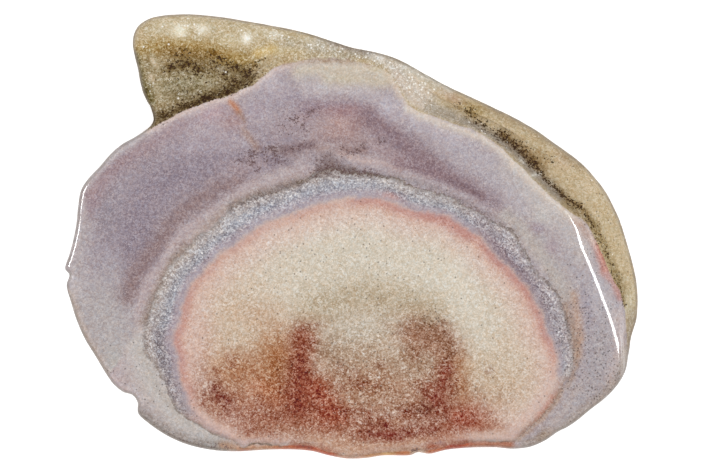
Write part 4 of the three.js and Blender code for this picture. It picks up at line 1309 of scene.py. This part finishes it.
class Nodes:
    """A short way to add and join the nodes of one material, whose patterns lie fixed in the stone."""

    def __init__(self, name):
        self.material = bpy.data.materials.new(name)
        self.material.use_nodes = True
        self.tree = self.material.node_tree
        self.shader = self.tree.nodes["Principled BSDF"]
        self.place = self.add("ShaderNodeTexCoord", {}, output="Object")

    def put(self, socket, value):
        if isinstance(value, bpy.types.NodeSocket):
            self.tree.links.new(value, socket)
        else:
            socket.default_value = value

    def add(self, kind, inputs, output=0, **settings):
        node = self.tree.nodes.new(kind)
        for name, value in settings.items():
            setattr(node, name, value)
        for name, value in inputs.items():
            self.put(node.inputs[name], value)
        return node.outputs[output]

    def value(self, name):
        return self.add("ShaderNodeAttribute", {}, output="Fac", attribute_name=name)

    def colour(self, name):
        return self.add("ShaderNodeAttribute", {}, output="Color", attribute_name=name)

    def maths(self, operation, a, b=0.0, c=0.0, **settings):
        return self.add("ShaderNodeMath", {0: a, 1: b, 2: c}, operation=operation, **settings)

    def times(self, a, b, plus=None):
        if plus is None:
            return self.maths("MULTIPLY", a, b)
        return self.maths("MULTIPLY_ADD", a, b, plus)

    def ramp(self, value, low, high, start=0.0, end=1.0):
        """From start to end, smoothly, as the value goes from low to high."""
        inputs = {"Value": value, "From Min": low, "From Max": high, "To Min": start, "To Max": end}
        return self.add("ShaderNodeMapRange", inputs, interpolation_type="SMOOTHSTEP")

    def mix(self, share, a, b):
        return self.add("ShaderNodeMix", {0: share, 6: a, 7: b}, output=2, data_type="RGBA")

    def vector_maths(self, operation, a, b):
        return self.add("ShaderNodeVectorMath", {0: a, 1: b}, operation=operation)

    def sized(self, size):
        """A pattern's inputs for features of a size."""
        return {"Vector": self.place, "Scale": 1 / (size * MM)}

    def noise(self, size, detail, roughness=0.5):
        inputs = {**self.sized(size), "Detail": detail, "Roughness": roughness}
        return self.add("ShaderNodeTexNoise", inputs, output="Fac")

    def swing(self, kind):
        """A noise that swings about zero."""
        return self.maths("SUBTRACT", self.noise(*kind), 0.5)

    def cells(self, size, output="Distance"):
        """Scattered points, a size apart."""
        return self.add("ShaderNodeTexVoronoi", self.sized(size), output=output)

    def chances(self, size):
        """The first of three chance values that each scattered point has."""
        return self.add("ShaderNodeSeparateColor", {0: self.cells(size, "Color")})

    def covered(self, noise, share, edge=MASK_EDGE):
        """A mask of the noise's peaks that covers about a share of the surface."""
        reach = self.times(self.maths("SQRT", self.times(share, 2.0)), HALF_FALL)
        reach = self.maths("ADD", reach, self.ramp(share, 0.0, LEAST_SHARE, FADED, 0.0))
        return self.ramp(self.maths("ADD", noise, reach), PEAK - edge, PEAK + edge)

    def dots(self, size, radius, density):
        """Dots on as many scattered points as the density says, their radius a share of the spacing."""
        shown = self.maths("LESS_THAN", self.chances(size), density)
        end, full = (radius * share for share in DOT_EDGE)
        return self.times(self.ramp(self.cells(size), end, full), shown)


def paint(*seen):
    """A socket's colour for a colour as the eye sees it."""
    return (*linear(seen), 1)


def contour(n, name, crinkle, grain):
    """A contour's distance, made to wander by the crinkle and to fray by the grain."""
    wander, fray = WANDER[name]
    return n.times(grain, fray, n.times(crinkle, wander, n.value(name)))


def stained_core(n, grain):
    """The core's colour, with crystals that are stained one by one where the stain is thin."""
    stain = n.value("stain")
    crystals = n.times(n.swing(CRYSTALS), CRYSTAL_CONTRAST, n.times(grain, STAINED_GRAINS))
    unevenness = n.times(stain, n.times(stain, UNEVEN[1], UNEVEN[0]))
    stained = n.maths("MULTIPLY_ADD", crystals, unevenness, stain, use_clamp=True)
    return n.mix(stained, n.colour("core_tone"), n.colour("stain_tone"))


def line_cover(n, from_line):
    """How much of the thin dark line shows: broken here and there, over a soft shade."""
    inset, half_width, strength = SHADE
    thin = n.ramp(n.maths("ABSOLUTE", from_line), *LINE_FADE)
    unbroken = n.times(n.ramp(n.noise(*LINE_BREAKS), *LINE_STRENGTH), n.value("line"))
    shade = n.ramp(n.maths("ABSOLUTE", n.maths("ADD", from_line, inset)), half_width, 0.0, 0.0, strength)
    return n.maths("MAXIMUM", n.times(thin, unbroken), shade)


def banded(n, crinkle, grain, from_plate):
    """The plate, the dark line, the ring, the core and the shell, each up to its contour."""
    torn = n.times(n.swing(TEAR), n.value("tear"))
    from_line = n.times(torn, TORN, contour(n, "from_line", crinkle, grain))
    from_orange = contour(n, "from_orange", crinkle, grain)
    colour = n.mix(n.ramp(from_line, *RING_BLEND), n.colour("plate_tone"), n.colour("ring_tone"))
    colour = n.mix(line_cover(n, from_line), colour, paint(*LINE_BROWN))
    colour = n.mix(n.ramp(from_orange, *CORE_BLEND), colour, stained_core(n, grain))
    return n.mix(n.ramp(from_plate, *SHELL_BLEND), colour, n.colour("shell_tone"))


def grained(n, colour, grain, hue_chance):
    """A colour broken into lighter and darker grains, and into warmer and cooler ones."""
    grit = n.value("grit")
    contrast = n.times(grain, GRAIN_CONTRAST, n.times(n.swing(CLUMPS), CLUMP_CONTRAST))
    evened = n.times(n.times(grit, grit), EVENING, 1.0)
    weight = n.maths("MAXIMUM", n.times(contrast, n.times(grit, -1.0), evened), LEAST_WEIGHT)
    colour = n.add("ShaderNodeGamma", {0: colour, 1: weight})
    hue = n.times(n.swing(HUES), HUE_SWING, 1.0)
    hue = n.times(hue_chance, HUE_CHANCE, n.maths("SUBTRACT", hue, HUE_CHANCE / 2))
    tint = n.add("ShaderNodeCombineXYZ", {0: hue, 1: 1.0, 2: n.maths("SUBTRACT", 2.0, hue)})
    return n.vector_maths("MULTIPLY", colour, tint)


def agate():
    """The polished stone and its rough shell."""
    n = Nodes("polished agate")
    crinkle = n.swing(CRINKLE)
    small = n.chances(SMALL_GRAIN[0])
    centring = -(SMALL_GRAIN[1] + LARGE_GRAIN[1]) / 2
    grain = n.times(small, SMALL_GRAIN[1], n.times(n.chances(LARGE_GRAIN[0]), LARGE_GRAIN[1], centring))
    from_plate = contour(n, "from_plate", crinkle, grain)
    colour = banded(n, crinkle, grain, from_plate)

    crumbs = n.value("crumbs")
    speckle = n.times(small, GRAIN_SHARE, n.times(n.noise(*SPECKLE), 1 - GRAIN_SHARE))
    halo = n.covered(speckle, n.times(crumbs, HALO_REACH), HALO_EDGE)
    colour = n.mix(n.times(halo, HALO_STRENGTH), colour, paint(*CRUMB_HALO))
    colour = grained(n, colour, grain, small.node.outputs[1])

    covers = {
        "branches": n.covered(speckle, n.value("branches")),
        "crumbs": n.covered(speckle, crumbs),
        "specks": n.dots(*SPECKS, n.value("specks")),
        "glints": n.dots(*GLINTS, n.value("glints")),
    }
    for name, (share, seen) in FLECKS.items():
        colour = n.mix(n.times(covers[name], share), colour, paint(*seen))
    # The greyish rind, which near the top's outline is painted edge shade
    rind_and_edge_shade = n.times(n.value("rind_and_edge_shade"), n.ramp(n.noise(*RIND_AND_SHADE_NOISE), *RIND_AND_SHADE_STRENGTH))
    colour = n.mix(rind_and_edge_shade, colour, paint(*RIND_AND_EDGE_SHADE_GREY))

    shell = n.ramp(from_plate, *ROUGH_BLEND)
    wall = n.ramp(n.value("sink"), 0.0, WALL_START, POLISH, WALL_ROUGHNESS)
    rough = n.maths("MAXIMUM", n.times(shell, SHELL_ROUGHNESS), wall)
    rough = n.maths("MAXIMUM", rough, n.times(n.value("dull"), NOTCH_ROUGHNESS))
    veil = n.times(shell, ROUGH_VEIL - GLOSS_VEIL, GLOSS_VEIL)
    colour = n.vector_maths("MAXIMUM", n.vector_maths("SUBTRACT", colour, veil), DARKEST)
    n.put(n.shader.inputs["Base Color"], colour)
    n.put(n.shader.inputs["Roughness"], rough)
    n.put(n.shader.inputs["Specular Tint"], n.mix(shell, (1, 1, 1, 1), SHELL_SHEEN))
    n.put(n.shader.inputs["IOR"], QUARTZ_IOR)
    return n.material


# ------------------------------------------------------------------------------------------------------
# The surroundings
# ------------------------------------------------------------------------------------------------------

VIEW_WIDTH = 0.12356  # metres across the view at the stone's middle height
VIEW_SHIFT = 0.35  # millimetres from the stone's middle to the view's, to the right
LENS = 500.0
SENSOR = 36.0

FLOOR_HALF = 3.0  # metres
FLOOR_WHITE = (0.8, 0.8, 0.8, 1)
FLOOR_GLOW = 0.6
FLOOR_ROUGHNESS = 0.9

# The white room's brightness: the heights in the view direction between which it changes, from and to what
WALL_LIGHT = (0.0, 0.6, 0.4, 1.22)
CEILING_LIGHT = (0.93, 0.98, 1.0, 0.25)
# Soft boxes: name, azimuth and elevation, width and length in metres, power
SOFT_BOXES = (
    ("soft box left", 161, 27, (0.28, 0.2), 3),
    ("soft box right", 17.5, 50, (0.22, 0.23), 2.5),
)

SOFT_BOX_DISTANCE = 0.6


def link(name, data):
    """An object for the data, in the scene."""
    made = bpy.data.objects.new(name, data)
    bpy.context.scene.collection.objects.link(made)
    return made


def make_camera():
    """The camera, straight above the stone."""
    data = bpy.data.cameras.new("camera")
    data.lens = LENS
    data.sensor_width = SENSOR
    camera = link("camera", data)
    camera.location = (VIEW_SHIFT * MM, 0, 0.5 * THICKNESS * MM + VIEW_WIDTH * LENS / SENSOR)
    bpy.context.scene.camera = camera


def make_floor():
    """A plain white floor that glows a little, as a light table does."""
    half = FLOOR_HALF
    corners = [(-half, -half, 0), (half, -half, 0), (half, half, 0), (-half, half, 0)]
    mesh = bpy.data.meshes.new("floor")
    mesh.from_pydata(corners, [], [(0, 1, 2, 3)])
    floor = link("floor", mesh)
    material = bpy.data.materials.new("light table")
    material.use_nodes = True
    shader = material.node_tree.nodes["Principled BSDF"]
    shader.inputs["Base Color"].default_value = FLOOR_WHITE
    shader.inputs["Roughness"].default_value = FLOOR_ROUGHNESS
    shader.inputs["Specular IOR Level"].default_value = 0.0
    shader.inputs["Emission Color"].default_value = (1, 1, 1, 1)
    shader.inputs["Emission Strength"].default_value = FLOOR_GLOW
    mesh.materials.append(material)


def make_soft_box(name, azimuth, elevation, size, power):
    """A soft box that faces the stone and is seen only as its reflection in the polish."""
    a, e = math.radians(azimuth), math.radians(elevation)
    direction = Vector((math.cos(a) * math.cos(e), math.sin(a) * math.cos(e), math.sin(e)))
    data = bpy.data.lights.new(name, "AREA")
    data.shape = "ELLIPSE"
    data.size, data.size_y = size
    data.energy = power
    light = link(name, data)
    light.location = direction * SOFT_BOX_DISTANCE
    light.rotation_euler = direction.to_track_quat("Z", "Y").to_euler()
    light.visible_camera = False
    light.visible_diffuse = False


def brightness(tree, height, changes):
    """The room's brightness over the height of the direction."""
    node = tree.nodes.new("ShaderNodeMapRange")
    node.interpolation_type = "SMOOTHSTEP"
    tree.links.new(height, node.inputs["Value"])
    for name, value in zip(("From Min", "From Max", "To Min", "To Max"), changes):
        node.inputs[name].default_value = value
    return node.outputs["Result"]


def make_lights():
    """A white room, darker low down and straight overhead, and two soft boxes."""
    world = bpy.data.worlds.new("white room")
    world.use_nodes = True
    tree = world.node_tree
    direction = tree.nodes.new("ShaderNodeTexCoord").outputs["Generated"]
    split = tree.nodes.new("ShaderNodeSeparateXYZ")
    tree.links.new(direction, split.inputs[0])
    strength = tree.nodes.new("ShaderNodeMath")
    strength.operation = "MULTIPLY"
    for socket, changes in zip(strength.inputs, (WALL_LIGHT, CEILING_LIGHT)):
        tree.links.new(brightness(tree, split.outputs["Z"], changes), socket)
    background = tree.nodes["Background"]
    background.inputs["Color"].default_value = (1, 1, 1, 1)
    tree.links.new(strength.outputs[0], background.inputs["Strength"])
    bpy.context.scene.world = world
    for box in SOFT_BOXES:
        make_soft_box(*box)
    bpy.context.scene.view_settings.view_transform = "Standard"


stone = make_stone()
stone.data.materials.append(agate())
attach(stone, "root")
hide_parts(NODE)
make_floor()
make_lights()
make_camera()
